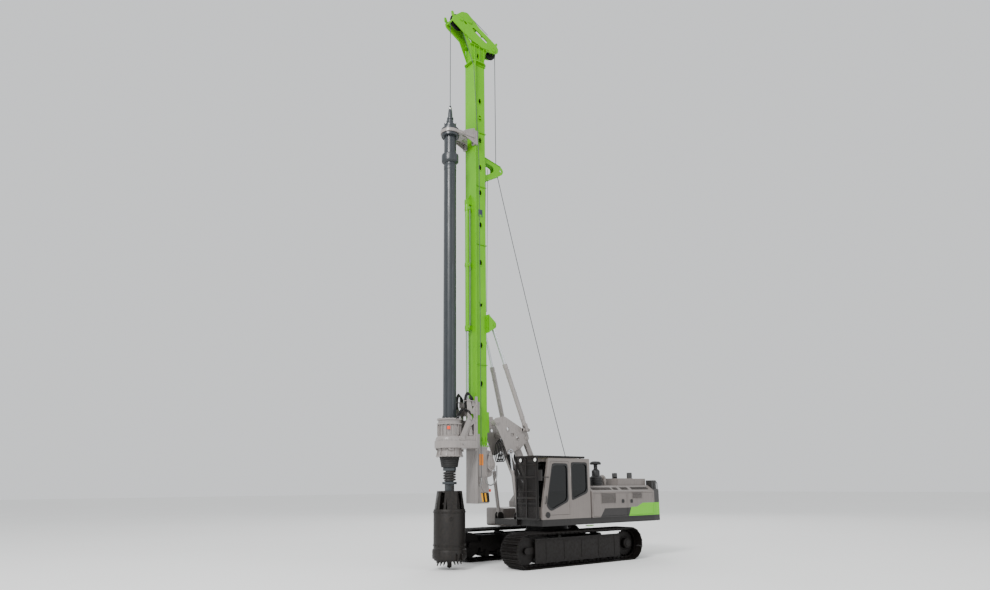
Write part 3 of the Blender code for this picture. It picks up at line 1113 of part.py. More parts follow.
def bucket():
    """The drilling bucket: an open-bottomed drum under a square box, and its hinged floor."""
    x = KELLY_X
    drum = rod("bucket_body", (x, 0, BUCKET_BOTTOM_Z), (x, 0, BUCKET_TOP_Z), BUCKET_RADIUS, "bucket_brown",
               KELLY,
               sides=32)
    inside = rod("bucket_room", (x, 0, BUCKET_BOTTOM_Z - 0.1), (x, 0, BUCKET_TOP_Z - 0.03),
                 BUCKET_RADIUS - BUCKET_WALL, None, KELLY, sides=32)
    rim = rod("bucket_rim", (x, 0, BUCKET_BOTTOM_Z), (x, 0, BUCKET_BOTTOM_Z + 0.24), BUCKET_RIM_RADIUS, None,
              KELLY,
              sides=32)
    crown = rod("bucket_crown", (x, 0, BUCKET_TOP_Z - 0.02), (x, 0, BUCKET_BOX_TOP_Z), 0.41, None, KELLY,
                sides=8,
                end_radius=0.34)
    ears = [rod("flap_pin", (x - 0.085, FLAP_Y, FLAP_Z), (x + 0.085, FLAP_Y, FLAP_Z), 0.014, None, KELLY)]
    for k, shift in enumerate((-1, 1)):
        ear_x = x + shift * 0.072
        ears.append(block(f"flap_ear_{k}", (ear_x - 0.015, ear_x + 0.015), (0.43, FLAP_Y + 0.03),
                          (FLAP_Z - 0.03, BUCKET_BOTTOM_Z + 0.16), None, KELLY))
    join(drum, rim, crown, *ears)
    cut(drum, inside,
        block("crown_window_x", (x - 0.5, x + 0.5), (-0.20, 0.20),
              (BUCKET_TOP_Z + 0.10, BUCKET_BOX_TOP_Z - 0.08),
              None, KELLY))
    floor_top = BUCKET_BOTTOM_Z - SLIDE_FIT
    floor = rod("bucket_floor", (x, 0, floor_top - FLOOR_THICK), (x, 0, floor_top), 0.42, "bucket_brown",
                FLAP,
                sides=32)
    teeth = [rod("pilot", (x, 0, BUCKET_TIP_Z), (x, 0, floor_top - 0.03), 0.02, None, FLAP, sides=8,
                 end_radius=0.09)]
    for k in range(8):
        tooth_x = x + (k - 3.5) * 0.105
        if abs(tooth_x - x) > 0.1:
            teeth.append(block(f"tooth_{k}", (tooth_x - 0.03, tooth_x + 0.03), (-0.03, 0.03),
                               (BUCKET_TIP_Z + 0.10, floor_top - 0.03), None, FLAP))
    arm = block("flap_arm", (x - 0.05, x + 0.05), (0.38, FLAP_Y), (FLAP_Z - 0.02, FLAP_Z + 0.02), None, FLAP)
    knuckle = rod("flap_knuckle", (x - 0.05, FLAP_Y, FLAP_Z), (x + 0.05, FLAP_Y, FLAP_Z), 0.024, None, FLAP)
    join(floor, arm, knuckle, *teeth)
    cut(floor, rod("flap_bore", (x - 0.1, FLAP_Y, FLAP_Z), (x + 0.1, FLAP_Y, FLAP_Z), 0.014 + PIN_FIT, None,
                   FLAP))


undercarriage()
deck()
counterweight()
hood()
deck_equipment()
cab()
cab_guard()
boom()
triangle()
cross_head()
luff_cylinders()
mast_cylinders()
mast()
mast_head()
rotary_drive()
kelly_guide()
kelly_bar()
bucket()
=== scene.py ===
import json
import math

import bmesh
import bpy
import numpy as np
from mathutils import Matrix, Vector


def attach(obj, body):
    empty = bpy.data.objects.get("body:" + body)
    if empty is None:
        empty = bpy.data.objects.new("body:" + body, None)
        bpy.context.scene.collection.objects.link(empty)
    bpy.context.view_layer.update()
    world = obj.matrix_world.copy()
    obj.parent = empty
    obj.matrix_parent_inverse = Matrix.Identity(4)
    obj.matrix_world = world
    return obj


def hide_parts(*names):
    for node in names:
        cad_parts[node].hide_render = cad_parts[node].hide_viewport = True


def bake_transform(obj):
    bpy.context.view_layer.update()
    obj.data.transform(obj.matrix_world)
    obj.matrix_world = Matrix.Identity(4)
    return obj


# Looks of the rotary piling rig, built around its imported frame.  Metres.  Places are measured
# from the slewing axis at ground level: +X to the mast, +Y to the cab's side, +Z up.
SLEW_X = -0.23              # slewing axis in the frame
SAME_PLACE = 0.000002       # vertices nearer than this are one

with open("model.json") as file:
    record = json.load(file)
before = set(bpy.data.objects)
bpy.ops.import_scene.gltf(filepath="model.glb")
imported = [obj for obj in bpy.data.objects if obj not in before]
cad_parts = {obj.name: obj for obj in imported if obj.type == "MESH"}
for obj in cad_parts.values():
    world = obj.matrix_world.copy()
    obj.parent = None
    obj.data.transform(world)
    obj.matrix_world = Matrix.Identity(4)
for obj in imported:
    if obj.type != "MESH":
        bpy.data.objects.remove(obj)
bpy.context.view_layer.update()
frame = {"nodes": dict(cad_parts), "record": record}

# ------------------------------------------------------------------ shapes
# A shape is its vertices, an array of (x, y, z), and a list of face arrays, one array for
# each number of corners.


def joined(*shapes):
    """Several shapes as one: vertices in a row, each shape's face numbers moved on by those before it."""
    before = np.cumsum([0] + [len(v) for v, _ in shapes])
    faces = [group + start for (_, groups), start in zip(shapes, before) for group in groups]
    return np.concatenate([v for v, _ in shapes]), faces


def moved(shape, by, turn=None):
    """The shape turned by a 3 by 3 matrix about the origin, then moved."""
    verts = shape[0] if turn is None else shape[0] @ np.asarray(turn, float).T
    return verts + np.asarray(by, float), shape[1]


def flipped(shape):
    """The shape's mirror image on the machine's other side: y becomes minus y."""
    return shape[0] * (1, -1, 1), shape[1]


def both_sides(*shapes):
    """The shapes and their mirror images."""
    return [*shapes, *map(flipped, shapes)]


def turn_about(axis, degrees):
    """The 3 by 3 matrix of a turn about x, y or z."""
    return np.array(Matrix.Rotation(math.radians(degrees), 3, axis.upper()))


def skin(points, ring_rows=False, ring_columns=True, caps=False):
    """Quads over a grid of points: each joins a point, its neighbour and the two in the next row.

    A ring joins the last row or column to the first; caps close the first and last rows."""
    rows, columns = points.shape[:2]
    index = np.arange(rows * columns).reshape(rows, columns)
    ends = [index[:1, ::-1], index[-1:]] if caps else []
    if ring_columns:
        index = np.concatenate([index, index[:, :1]], 1)
    if ring_rows:
        index = np.concatenate([index, index[:1]], 0)
    quads = np.stack([index[:-1, :-1], index[:-1, 1:], index[1:, 1:], index[1:, :-1]], -1)
    return points.reshape(-1, 3), [quads.reshape(-1, 4), *ends]


AXIS_ORDER = {"z": (0, 1, 2), "x": (2, 0, 1), "y": (0, 2, 1)}


def turned(profile, at=(0, 0, 0), axis="z", sides=48, hollow=False):
    """A turned shape: each (radius, height) of the profile goes round the axis by r cos t, r sin t.

    hollow joins the profile's last point to its first; otherwise its two ends are closed flat."""
    r, h = np.asarray(profile, float).T[:, :, None]
    t = np.linspace(0, 2 * np.pi, sides, endpoint=False)
    points = np.stack([r * np.cos(t), r * np.sin(t), h + 0 * t], -1)[..., AXIS_ORDER[axis]]
    return moved(skin(points, ring_rows=hollow, caps=not hollow), at)


def laid(shape, start, end):
    """A shape that stands on the origin along z, turned and moved to run from start towards end."""
    way = Vector(end) - Vector(start)
    return moved(shape, start, Vector((0, 0, 1)).rotation_difference(way).to_matrix())


def round_bar(start, end, radius, sides=32, end_radius=None, edge=0.004):
    """A round bar or cone between two points, with a small chamfer round each end."""
    last = radius if end_radius is None else end_radius
    length = math.dist(start, end)
    edge = min(edge, radius / 3, last / 3, length / 3)
    rings = [(radius - edge, 0), (radius, edge), (last, length - edge), (last - edge, length)]
    return laid(turned(rings, sides=sides), start, end)


def hollow_bar(start, end, outer, inner, sides=32, edge=0.004):
    """A tube with a bore, between two points, its rims chamfered."""
    length = math.dist(start, end)
    rings = [(inner, 0), (outer - edge, 0), (outer, edge), (outer, length - edge),
             (outer - edge, length), (inner, length)]
    return laid(turned(rings, sides=sides, hollow=True), start, end)


def smooth_path(points, steps=8):
    """A Catmull-Rom curve: at each point it runs along the line between that point's neighbours."""
    p = np.asarray(points, float)
    p = np.concatenate([2 * p[:1] - p[1:2], p, 2 * p[-1:] - p[-2:-1]])
    t = np.linspace(0, 1, steps, endpoint=False)[None, :, None]
    a, b, c, d = (p[k:len(p) - 3 + k, None] for k in range(4))
    square, cube = a - 2.5 * b + 2 * c - d / 2, 1.5 * (b - c) + (d - a) / 2
    curve = b + t * (c - a) / 2 + t**2 * square + t**3 * cube
    return np.concatenate([curve.reshape(-1, 3), p[-2:-1]])


def swept(path, radius, sides=10, ring=False):
    """A round tube along a path: at each point a circle in the plane across the path there."""
    path = np.asarray(path, float)
    along = np.roll(path, -1, 0) - np.roll(path, 1, 0) if ring else np.gradient(path, axis=0)
    along /= np.linalg.norm(along, axis=1, keepdims=True)
    least = np.eye(3)[np.argmin(abs(along).max(0))]
    side = np.cross(along, least)
    side /= np.linalg.norm(side, axis=1, keepdims=True)
    up = np.cross(side, along)
    t = np.linspace(0, 2 * np.pi, sides, endpoint=False)[None, :, None]
    points = path[:, None] + radius * (side[:, None] * np.cos(t) + up[:, None] * np.sin(t))
    return skin(points, ring_rows=ring, caps=not ring)


def hose(points, radius, sides=10, steps=8):
    """A round tube along a smooth path through the points."""
    return swept(smooth_path(points, steps), radius, sides)


def bars(centres, sizes, turn=None):
    """Many boxes: each centre plus and minus half its size at the eight corners, then turned."""
    centres = np.atleast_2d(np.asarray(centres, float))
    signs = np.array([(x, y, z) for z in (-1, 1) for y in (-1, 1) for x in (-1, 1)]) / 2
    local = signs[None] * np.broadcast_to(np.asarray(sizes, float), centres.shape)[:, None]
    if turn is not None:
        local = local @ np.swapaxes(np.asarray(turn, float), -1, -2)
    quads = np.array([(0, 2, 3, 1), (4, 5, 7, 6), (0, 1, 5, 4), (2, 6, 7, 3), (0, 4, 6, 2), (1, 3, 7, 5)])
    faces = quads[None] + 8 * np.arange(len(centres))[:, None, None]
    return (centres[:, None] + local).reshape(-1, 3), [faces.reshape(-1, 4)]


def box(x, y, z):
    """One box between two limits along each axis."""
    low, high = np.array([x, y, z], float).T
    return bars((low + high) / 2, high - low)


def studs(places, along, radius, height, sides=6):
    """Bolt heads: a six-sided ring at each place and a slightly smaller one a height further along the
    axis, both closed."""
    places = np.atleast_2d(np.asarray(places, float))
    along = np.asarray(along, float) / np.linalg.norm(along)
    least = np.eye(3)[np.argmin(abs(along))]
    side = np.cross(along, least)
    side /= np.linalg.norm(side)
    up = np.cross(along, side)
    t = np.linspace(0, 2 * np.pi, sides, endpoint=False)[:, None]
    ring = radius * (side * np.cos(t) + up * np.sin(t))
    both = np.concatenate([ring, 0.92 * ring + along * height])
    k = np.arange(sides)
    walls = np.stack([k, (k + 1) % sides, sides + (k + 1) % sides, sides + k], -1)
    ends = np.stack([k[::-1], sides + k])
    before = 2 * sides * np.arange(len(places))[:, None, None]
    faces = [(walls[None] + before).reshape(-1, 4), (ends[None] + before).reshape(-1, sides)]
    return (places[:, None] + both).reshape(-1, 3), faces


def circle_of(centre, radius, count, axis="z", first=0.0):
    """Places evenly round a circle: centre plus radius times cos and sin of each angle."""
    t = math.radians(first) + np.linspace(0, 2 * np.pi, count, endpoint=False)
    flat = np.stack([radius * np.cos(t), radius * np.sin(t), 0 * t], -1)
    return np.asarray(centre, float) + flat[:, AXIS_ORDER[axis]]


PLANES = {"xz": (0, 2, 1), "xy": (0, 1, 2), "yz": (2, 0, 1)}


def slab(outline, low, high, plane="xz", edge=0.0):
    """A flat plate: its outline in a plane, carried across from low to high, both faces closed.

    With an edge, the outline's two faces are drawn in towards its middle by that much."""
    flat = np.asarray(outline, float)
    middle = flat.mean(0)
    out = flat - middle
    inner = middle + out * (1 - edge / np.linalg.norm(out, axis=1, keepdims=True))
    levels = [(inner, low), (flat, low + edge), (flat, high - edge), (inner, high)]
    rings = levels if edge else levels[1:3]
    points = np.stack([np.concatenate([p, np.full((len(p), 1), z)], 1) for p, z in rings])
    return skin(points[..., PLANES[plane]], caps=True)


def pierced(outline, holes, low, high, plane="xz", edge=0.0):
    """A plate with holes: outline and holes are filled as one flat curve, which is made thick."""
    curve = bpy.data.curves.new("outline", "CURVE")
    curve.dimensions = "2D"
    curve.fill_mode = "BOTH"
    curve.extrude = (high - low) / 2 - edge
    curve.bevel_depth = edge
    curve.bevel_resolution = 0
    curve.offset = -edge
    for ring in (outline, *holes):
        spline = curve.splines.new("POLY")
        spline.points.add(len(ring) - 1)
        flat = np.insert(np.asarray(ring, float), [2, 2], (0.0, 1.0), axis=1)
        spline.points.foreach_set("co", flat.ravel())
        spline.use_cyclic_u = True
    guide = bpy.data.objects.new("outline", curve)
    bpy.context.scene.collection.objects.link(guide)
    graph = bpy.context.evaluated_depsgraph_get()
    mesh = bpy.data.meshes.new_from_object(guide.evaluated_get(graph))
    verts = np.zeros(3 * len(mesh.vertices))
    mesh.vertices.foreach_get("co", verts)
    corners = [tuple(polygon.vertices) for polygon in mesh.polygons]
    faces = [np.array([c for c in corners if len(c) == n]) for n in sorted({len(c) for c in corners})]
    bpy.data.objects.remove(guide)
    verts = verts.reshape(-1, 3) + (0, 0, (low + high) / 2)
    return verts[:, PLANES[plane]], faces


def ring_points(centre, radius, sides=20, tall=1.0):
    """Points round a circle or, with tall not 1, an upright oval."""
    t = np.linspace(0, 2 * np.pi, sides, endpoint=False)
    return np.stack([centre[0] + radius * np.cos(t), centre[1] + tall * radius * np.sin(t)], -1)


def rounded(corners, radius, steps=4):
    """An outline with its corners rounded: each corner gives way to a quadratic curve between the
    points that lie the radius along its two sides."""
    p = np.asarray(corners, float)
    to_last, to_next = np.roll(p, 1, 0) - p, np.roll(p, -1, 0) - p
    longest = np.minimum(np.linalg.norm(to_last, axis=1), np.linalg.norm(to_next, axis=1))[:, None]
    reach = np.minimum(radius, 0.45 * longest)
    a = p + reach * to_last / np.linalg.norm(to_last, axis=1, keepdims=True)
    b = p + reach * to_next / np.linalg.norm(to_next, axis=1, keepdims=True)
    t = np.linspace(0, 1, steps + 1)[None, :, None]
    curve = (1 - t)**2 * a[:, None] + 2 * t * (1 - t) * p[:, None] + t**2 * b[:, None]
    return curve.reshape(-1, 2)


def piece(name, shapes, material, body, replaces=(), angle=32, edge=0.0):
    """Shapes as one finished object: seams merged, faces outward, round sides smooth, riding a body.

    Its place is in its mesh, moved from the slewing axis into the frame; edge rounds its sharp edges.
    A piece with no body is attached to none."""
    verts, faces = joined(*shapes)
    mesh = bpy.data.meshes.new(name)
    mesh.from_pydata((verts + (SLEW_X, 0, 0)).tolist(), [], [f for group in faces for f in group.tolist()])
    bm = bmesh.new()
    bm.from_mesh(mesh)
    bmesh.ops.remove_doubles(bm, verts=bm.verts, dist=SAME_PLACE)
    bmesh.ops.recalc_face_normals(bm, faces=bm.faces)
    bm.to_mesh(mesh)
    bm.free()
    mesh.shade_smooth()
    mesh.set_sharp_from_angle(angle=math.radians(angle))
    mesh.materials.append(material)
    thing = bpy.data.objects.new(name, mesh)
    bpy.context.scene.collection.objects.link(thing)
    if edge:
        soften(thing, edge)
    if body:
        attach(thing, body)
    if replaces:
        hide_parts(*replaces)
    return thing


def soften(thing, width):
    """Sharp edges get a narrow rounding, which catches light as folded or ground steel does."""
    rounding = thing.modifiers.new("rounding", "BEVEL")
    rounding.width = width
    rounding.segments = 2
    rounding.limit_method = "ANGLE"
    rounding.angle_limit = math.radians(35)
    rounding.harden_normals = True


# ------------------------------------------------------------------ materials
# Kinds of node.  A range's inputs 0 to 4 are its value, the two limits it is read between and the two
# it is stretched to.  A mix's are its factor, 0, and its colours, 6 and 7; its colour comes out at 2.
NOISE = "ShaderNodeTexNoise"
MAPPING = "ShaderNodeMapping"
RANGE = "ShaderNodeMapRange"
MIX = "ShaderNodeMix"
MATH = "ShaderNodeMath"
BUMP = "ShaderNodeBump"
AXES = "ShaderNodeSeparateXYZ"


def linear(hex_colour):
    """An sRGB hex colour as linear light, with full opacity."""
    value = np.array([int(hex_colour[k:k + 2], 16) for k in (1, 3, 5)]) / 255
    light = np.where(value <= 0.04045, value / 12.92, ((value + 0.055) / 1.055)**2.4)
    return (*light.tolist(), 1.0)


def add(tree, kind, inputs=None, **settings):
    """Adds one node with its settings; an input is a number, a hex colour or a link from an output."""
    made = tree.nodes.new(kind)
    for key, value in settings.items():
        setattr(made, key, value)
    for key, value in (inputs or {}).items():
        if isinstance(value, bpy.types.NodeSocket):
            tree.links.new(value, made.inputs[key])
        else:
            made.inputs[key].default_value = linear(value) if isinstance(value, str) else value
    return made


def surface(name, **values):
    """A new material; returns it, its tree, its shader and its Object coordinates."""
    material = bpy.data.materials.new(name)
    material.use_nodes = True
    tree = material.node_tree
    shader = tree.nodes["Principled BSDF"]
    for key, value in values.items():
        shader.inputs[key.replace("_", " ")].default_value = value
    where = add(tree, "ShaderNodeTexCoord").outputs["Object"]
    return material, tree, shader, where


def weathered(tree, where, colour, grime, dusty):
    """A sprayed colour as it ages outdoors: broad fading, rain runs, specks and dust on level faces.

    Fading is a metre across, the runs 40 mm wide and ten times as tall, the specks 6 mm."""
    fade = add(tree, NOISE, {"Scale": 1.1, "Detail": 3.0, "Vector": where}).outputs[0]
    tall = add(tree, MAPPING, {"Scale": (25.0, 25.0, 2.5), "Vector": where}).outputs[0]
    runs = add(tree, NOISE, {"Scale": 1.0, "Detail": 4.0, "Roughness": 0.6, "Vector": tall}).outputs[0]
    specks = add(tree, NOISE, {"Scale": 160.0, "Detail": 2.0, "Vector": where}).outputs[0]
    pale = add(tree, RANGE, {0: fade, 1: 0.35, 2: 0.7, 4: 0.14}).outputs[0]
    faded = add(tree, MIX, {0: pale, 6: colour, 7: "#FFFFFF"}, data_type="RGBA", blend_type="SOFT_LIGHT")
    run = add(tree, RANGE, {0: runs, 1: 0.52, 2: 0.78, 4: grime}).outputs[0]
    stained = add(tree, MIX, {0: run, 6: faded.outputs[2], 7: "#4A4038"}, data_type="RGBA",
                  blend_type="MULTIPLY")
    speck = add(tree, RANGE, {0: specks, 1: 0.66, 2: 0.72, 4: grime}).outputs[0]
    spotted = add(tree, MIX, {0: speck, 6: stained.outputs[2], 7: "#3A332C"}, data_type="RGBA")
    normal = add(tree, "ShaderNodeNewGeometry").outputs["Normal"]
    level = add(tree, AXES, {0: normal}).outputs["Z"]
    lying = add(tree, RANGE, {0: level, 1: 0.75, 2: 0.98, 4: dusty}).outputs[0]
    dusted = add(tree, MIX, {0: lying, 6: spotted.outputs[2], 7: "#5C554A"}, data_type="RGBA")
    return dusted.outputs[2], runs


def bumped(tree, shader, where, scale, depth, strength):
    """A fine unevenness: noise of that many waves a metre and that depth in metres."""
    noise = add(tree, NOISE, {"Scale": scale, "Detail": 3.0, "Vector": where}).outputs[0]
    bump = add(tree, BUMP, {"Strength": strength, "Distance": depth, "Height": noise}).outputs[0]
    tree.links.new(bump, shader.inputs["Normal"])


def sprayed(name, colour, rough=0.38, grime=0.25, dusty=0.2, coat=0.25, shine=0.5):
    """Two-pack paint sprayed on steel plate: a soft gloss with orange peel, drawn at 8 mm so that it
    shows, and outdoor grime over it."""
    material, tree, shader, where = surface(name, Coat_Weight=coat, Coat_Roughness=0.15,
                                            Specular_IOR_Level=shine)
    shade, runs = weathered(tree, where, colour, grime, dusty)
    dull = add(tree, RANGE, {0: runs, 1: 0.35, 2: 0.75, 3: rough - 0.06, 4: rough + 0.16}).outputs[0]
    tree.links.new(shade, shader.inputs["Base Color"])
    tree.links.new(dull, shader.inputs["Roughness"])
    bumped(tree, shader, where, 125.0, 0.0006, 0.25)
    return material


def earthy(name, colour, earth, rough, metal, cover):
    """Worn dark steel of the undercarriage and bucket: rubbed paint, rust bloom and dried soil in
    70 mm patches, gritty to the eye at 5 mm."""
    material, tree, shader, where = surface(name, Metallic=metal)
    lumpy = {"Scale": 14.0, "Detail": 6.0, "Roughness": 0.65, "Vector": where}
    patches = add(tree, NOISE, lumpy).outputs[0]
    grit = add(tree, NOISE, {"Scale": 220.0, "Detail": 3.0, "Vector": where}).outputs[0]
    covered = add(tree, RANGE, {0: patches, 1: 0.42, 2: 0.68, 4: cover}).outputs[0]
    soil = add(tree, MIX, {0: covered, 6: colour, 7: earth}, data_type="RGBA").outputs[2]
    grain = add(tree, RANGE, {0: grit, 1: 0.45, 2: 0.7, 4: 0.5}).outputs[0]
    gritty = add(tree, MIX, {0: grain, 6: soil, 7: "#0C0908"}, data_type="RGBA", blend_type="MULTIPLY")
    dull = add(tree, RANGE, {0: patches, 1: 0.35, 2: 0.7, 3: rough - 0.15, 4: rough + 0.15}).outputs[0]
    tree.links.new(gritty.outputs[2], shader.inputs["Base Color"])
    tree.links.new(dull, shader.inputs["Roughness"])
    bumped(tree, shader, where, 90.0, 0.003, 0.6)
    return material


def drawn_metal(name, colour, rough, scale=(300.0, 300.0, 6.0), depth=0.0001):
    """Bare or plated metal with fine marks drawn along one way, by default 3 mm wide and 170 mm long."""
    material, tree, shader, where = surface(name, Metallic=1.0)
    stretched = add(tree, MAPPING, {"Scale": scale, "Vector": where}).outputs[0]
    marks = add(tree, NOISE, {"Scale": 1.0, "Detail": 4.0, "Vector": stretched}).outputs[0]
    worn = add(tree, RANGE, {0: marks, 1: 0.4, 2: 0.7, 4: 0.3}).outputs[0]
    shade = add(tree, MIX, {0: worn, 6: colour, 7: "#6E7175"}, data_type="RGBA").outputs[2]
    dull = add(tree, RANGE, {0: marks, 1: 0.3, 2: 0.7, 3: rough * 0.7, 4: rough * 1.4}).outputs[0]
    bump = add(tree, BUMP, {"Strength": 0.2, "Distance": depth, "Height": marks}).outputs[0]
    tree.links.new(shade, shader.inputs["Base Color"])
    tree.links.new(dull, shader.inputs["Roughness"])
    tree.links.new(bump, shader.inputs["Normal"])
    return material


def moulded(name, colour, rough, scale=150.0, depth=0.0004, dust="#2F2B27"):
    """Rubber, plastic or lamp glass with a fine grain, by default 7 mm, and a bloom of dust at 110 mm."""
    material, tree, shader, where = surface(name)
    bloom = add(tree, NOISE, {"Scale": 9.0, "Detail": 4.0, "Vector": where}).outputs[0]
    lying = add(tree, RANGE, {0: bloom, 1: 0.45, 2: 0.75, 4: 0.28}).outputs[0]
    shade = add(tree, MIX, {0: lying, 6: colour, 7: dust}, data_type="RGBA").outputs[2]
    dull = add(tree, RANGE, {0: bloom, 1: 0.4, 2: 0.7, 3: rough, 4: rough + 0.15}).outputs[0]
    tree.links.new(shade, shader.inputs["Base Color"])
    tree.links.new(dull, shader.inputs["Roughness"])
    bumped(tree, shader, where, scale, depth, 0.4)
    return material


def house_paint(name, base):
    """The house's spray: a base colour, a black-brown sill, a black panel and a lime panel, each with
    straight masked edges that lean like the door's lower corner."""
    material, tree, shader, where = surface(name, Coat_Weight=0.3, Coat_Roughness=0.15)
    axes = add(tree, AXES, {0: where})

    def edge(slope, x0, z0, way):
        """One where z is over or under the line through a place, with that slope."""
        height = slope * (x0 + SLEW_X) - z0
        line = add(tree, MATH, {0: axes.outputs["X"], 1: -slope, 2: height}, operation="MULTIPLY_ADD")
        over = add(tree, MATH, {0: line.outputs[0], 1: axes.outputs["Z"]}, operation="ADD")
        return add(tree, MATH, {0: over.outputs[0], 1: 0.0}, operation=way).outputs[0]

    def both(first, second):
        """One where both masks are one: their product."""
        return add(tree, MATH, {0: first, 1: second}, operation="MULTIPLY").outputs[0]

    over, under = "GREATER_THAN", "LESS_THAN"
    slant = (-2.27, -2.04, 1.36)
    behind = edge(*slant, under)
    black = both(both(edge(0.0, -2.0, 1.535, under), edge(-1.32, -0.76, 1.28, under)), edge(*slant, over))
    lime = both(both(behind, edge(0.0, -2.0, 1.665, under)), edge(-0.41, -2.38, 1.55, under))
    step = both(behind, edge(0.0, -2.0, 1.55, under))
    sill = edge(0.0, -2.0, 1.285, under)
    shade, runs = weathered(tree, where, base, 0.22, 0.12)
    for mask, colour in ((black, "#1B1716"), (lime, "#66BE00"), (step, "#66BE00"), (sill, "#171312")):
        shade = add(tree, MIX, {0: mask, 6: shade, 7: colour}, data_type="RGBA").outputs[2]
    dull = add(tree, RANGE, {0: runs, 1: 0.35, 2: 0.75, 3: 0.32, 4: 0.5}).outputs[0]
    tree.links.new(shade, shader.inputs["Base Color"])
    tree.links.new(dull, shader.inputs["Roughness"])
    bumped(tree, shader, where, 125.0, 0.0006, 0.2)
    return material


def tinted_glass(name):
    """Tinted safety glass: dark to look through, a hard gloss, faint smears 60 mm across."""
    material, tree, shader, where = surface(name, Base_Color=linear("#0B0F10"), Transmission_Weight=0.6,
                                            IOR=1.5)
    smear = add(tree, NOISE, {"Scale": 16.0, "Detail": 5.0, "Vector": where}).outputs[0]
    dull = add(tree, RANGE, {0: smear, 1: 0.5, 2: 0.8, 3: 0.02, 4: 0.14}).outputs[0]
    tree.links.new(dull, shader.inputs["Roughness"])
    return material


LIME = sprayed("lime_gloss_paint", "#5CA800", 0.36, 0.14, 0.06, 0.05, 0.25)
PALE = sprayed("pale_grey_gloss_paint", "#8B8582", 0.36, 0.35, 0.12)
HOUSE = house_paint("house_two_tone_paint", "#736C68")
COUNTER = house_paint("counterweight_two_tone_paint", "#2E2D2C")
GREY_PLAIN = sprayed("house_grey_paint", "#736C68", 0.38, 0.22, 0.12)
SOOT = sprayed("black_brown_paint", "#141110", 0.48, 0.35, 0.3, 0.1)
KELLY = sprayed("blue_grey_paint_on_kelly", "#272C30", 0.36, 0.40, 0.1, 0.1)
STEEL_WORN = earthy("worn_undercarriage_steel", "#0F0A08", "#1D1612", 0.62, 0.3, 0.45)
TRACK = earthy("rubbed_track_steel", "#0F0A08", "#221A15", 0.55, 0.5, 0.5)
BUCKET = earthy("scuffed_bucket_steel", "#1C1917", "#332C26", 0.5, 0.35, 0.5)
CHROME = drawn_metal("hard_chrome_on_rods", "#D9DCE0", 0.14)
BARE = drawn_metal("bare_machined_steel", "#A5A4A2", 0.32)
IRON = earthy("dull_cast_iron", "#1C1B1B", "#2B2824", 0.62, 0.5, 0.3)
ROPE = drawn_metal("greased_wire_rope", "#5A5C5E", 0.5, (900.0, 900.0, 300.0), 0.001)
RUBBER = moulded("black_hose_rubber", "#0A0A0A", 0.6)
PLASTIC = moulded("black_moulded_plastic", "#1A1A1B", 0.45)
CLOTH = moulded("woven_seat_cloth", "#1C1D20", 0.85, 500.0, 0.001)
GLASS = tinted_glass("tinted_safety_glass")
AMBER = sprayed("amber_plate", "#E07C00", 0.4, 0.1, 0.1)
ORANGE = sprayed("orange_plate", "#F04000", 0.4, 0.1, 0.1)
YELLOW = sprayed("yellow_bumper_paint", "#EFA800", 0.4, 0.2, 0.1)
LENS = moulded("clear_lamp_lens", "#F6F6F2", 0.08, 90.0, 0.0006, "#C9C4BA")

# The frame's own parts take one material for each slot.
BY_SLOT = {
    "undercarriage_paint": STEEL_WORN, "track_steel": TRACK, "cab_glass": GLASS, "green_paint": LIME,
    "kelly_paint": KELLY, "bucket_steel": BUCKET, "chrome_rod": CHROME, "cast_iron": IRON,
    "counterweight_iron": COUNTER, "black_paint": SOOT, "seat_cloth": CLOTH, "console_plastic": PLASTIC,
    "house_paint": HOUSE, "grey_paint": PALE,
}
node_slot = {part["node"]: part["material_slot"] for part in frame["record"]["subparts"]}
for name, node in frame["nodes"].items():
    node.data.materials.clear()
    node.data.materials.append(BY_SLOT[node_slot[name]])


# ------------------------------------------------------------------ mast
REAR, FRONT = 2.41, 2.83     # the box mast's rear and front faces
MAST_HALF, RAIL_HALF, RAIL_THICK, SHEET = 0.20, 0.27, 0.03, 0.012
CLAW_X = 2.75                # nothing stands out of the sides ahead of this, where the claws run
JOINT_Z, TOP_Z = 3.33, 15.50
CYL_FOOT, CYL_HEAD = (1.19, 3.85), (2.20, 6.95)
CYL_FOOT_Y, CYL_HEAD_Y = 0.50, 0.20
FEED_X = 2.96
FIN_Z = 12.10
HOLE_Z = (5.15, 6.30, 7.55, 8.85, 10.05, 11.10, 11.93, 12.84, 13.60, 14.18)
OVAL = 1.9                   # how much taller than wide the mast's holes are


def side_strip(z, half):
    """Two level strips along the mast's sides, behind the claws' run."""
    return both_sides(box((REAR - 0.012, CLAW_X), (MAST_HALF, MAST_HALF + 0.03), (z - half, z + half)))


def box_mast(low, high, hole_z):
    """A welded box: side plates with upright oval holes, a rear plate between them, a wide front plate
    whose edges are the rails, and level plates inside, midway between the holes."""
    back, within = FRONT - RAIL_THICK, MAST_HALF - SHEET
    middle = (REAR + back) / 2
    sheet = [(REAR, low), (back, low), (back, high), (REAR, high)]
    holes = [ring_points((middle, z), 0.045, 20, OVAL) for z in hole_z]
    shapes = both_sides(pierced(sheet, holes, within, MAST_HALF))
    shapes += [box((REAR, REAR + SHEET), (-within, within), (low, high)),
               box((back, FRONT), (-RAIL_HALF, RAIL_HALF), (low, high))]
    rim = turned([(0.045, 0), (0.060, 0), (0.060, 0.010), (0.045, 0.012)], axis="y", sides=20, hollow=True)
    for z in hole_z:
        shapes += both_sides(moved(rim, (middle, MAST_HALF, z), np.diag((1.0, 1.0, OVAL))))
    for z in np.convolve(hole_z, (0.5, 0.5), "valid") if len(hole_z) else ():
        shapes.append(box((REAR + SHEET, back), (-within, within), (z - 0.006, z + 0.006)))
    return shapes


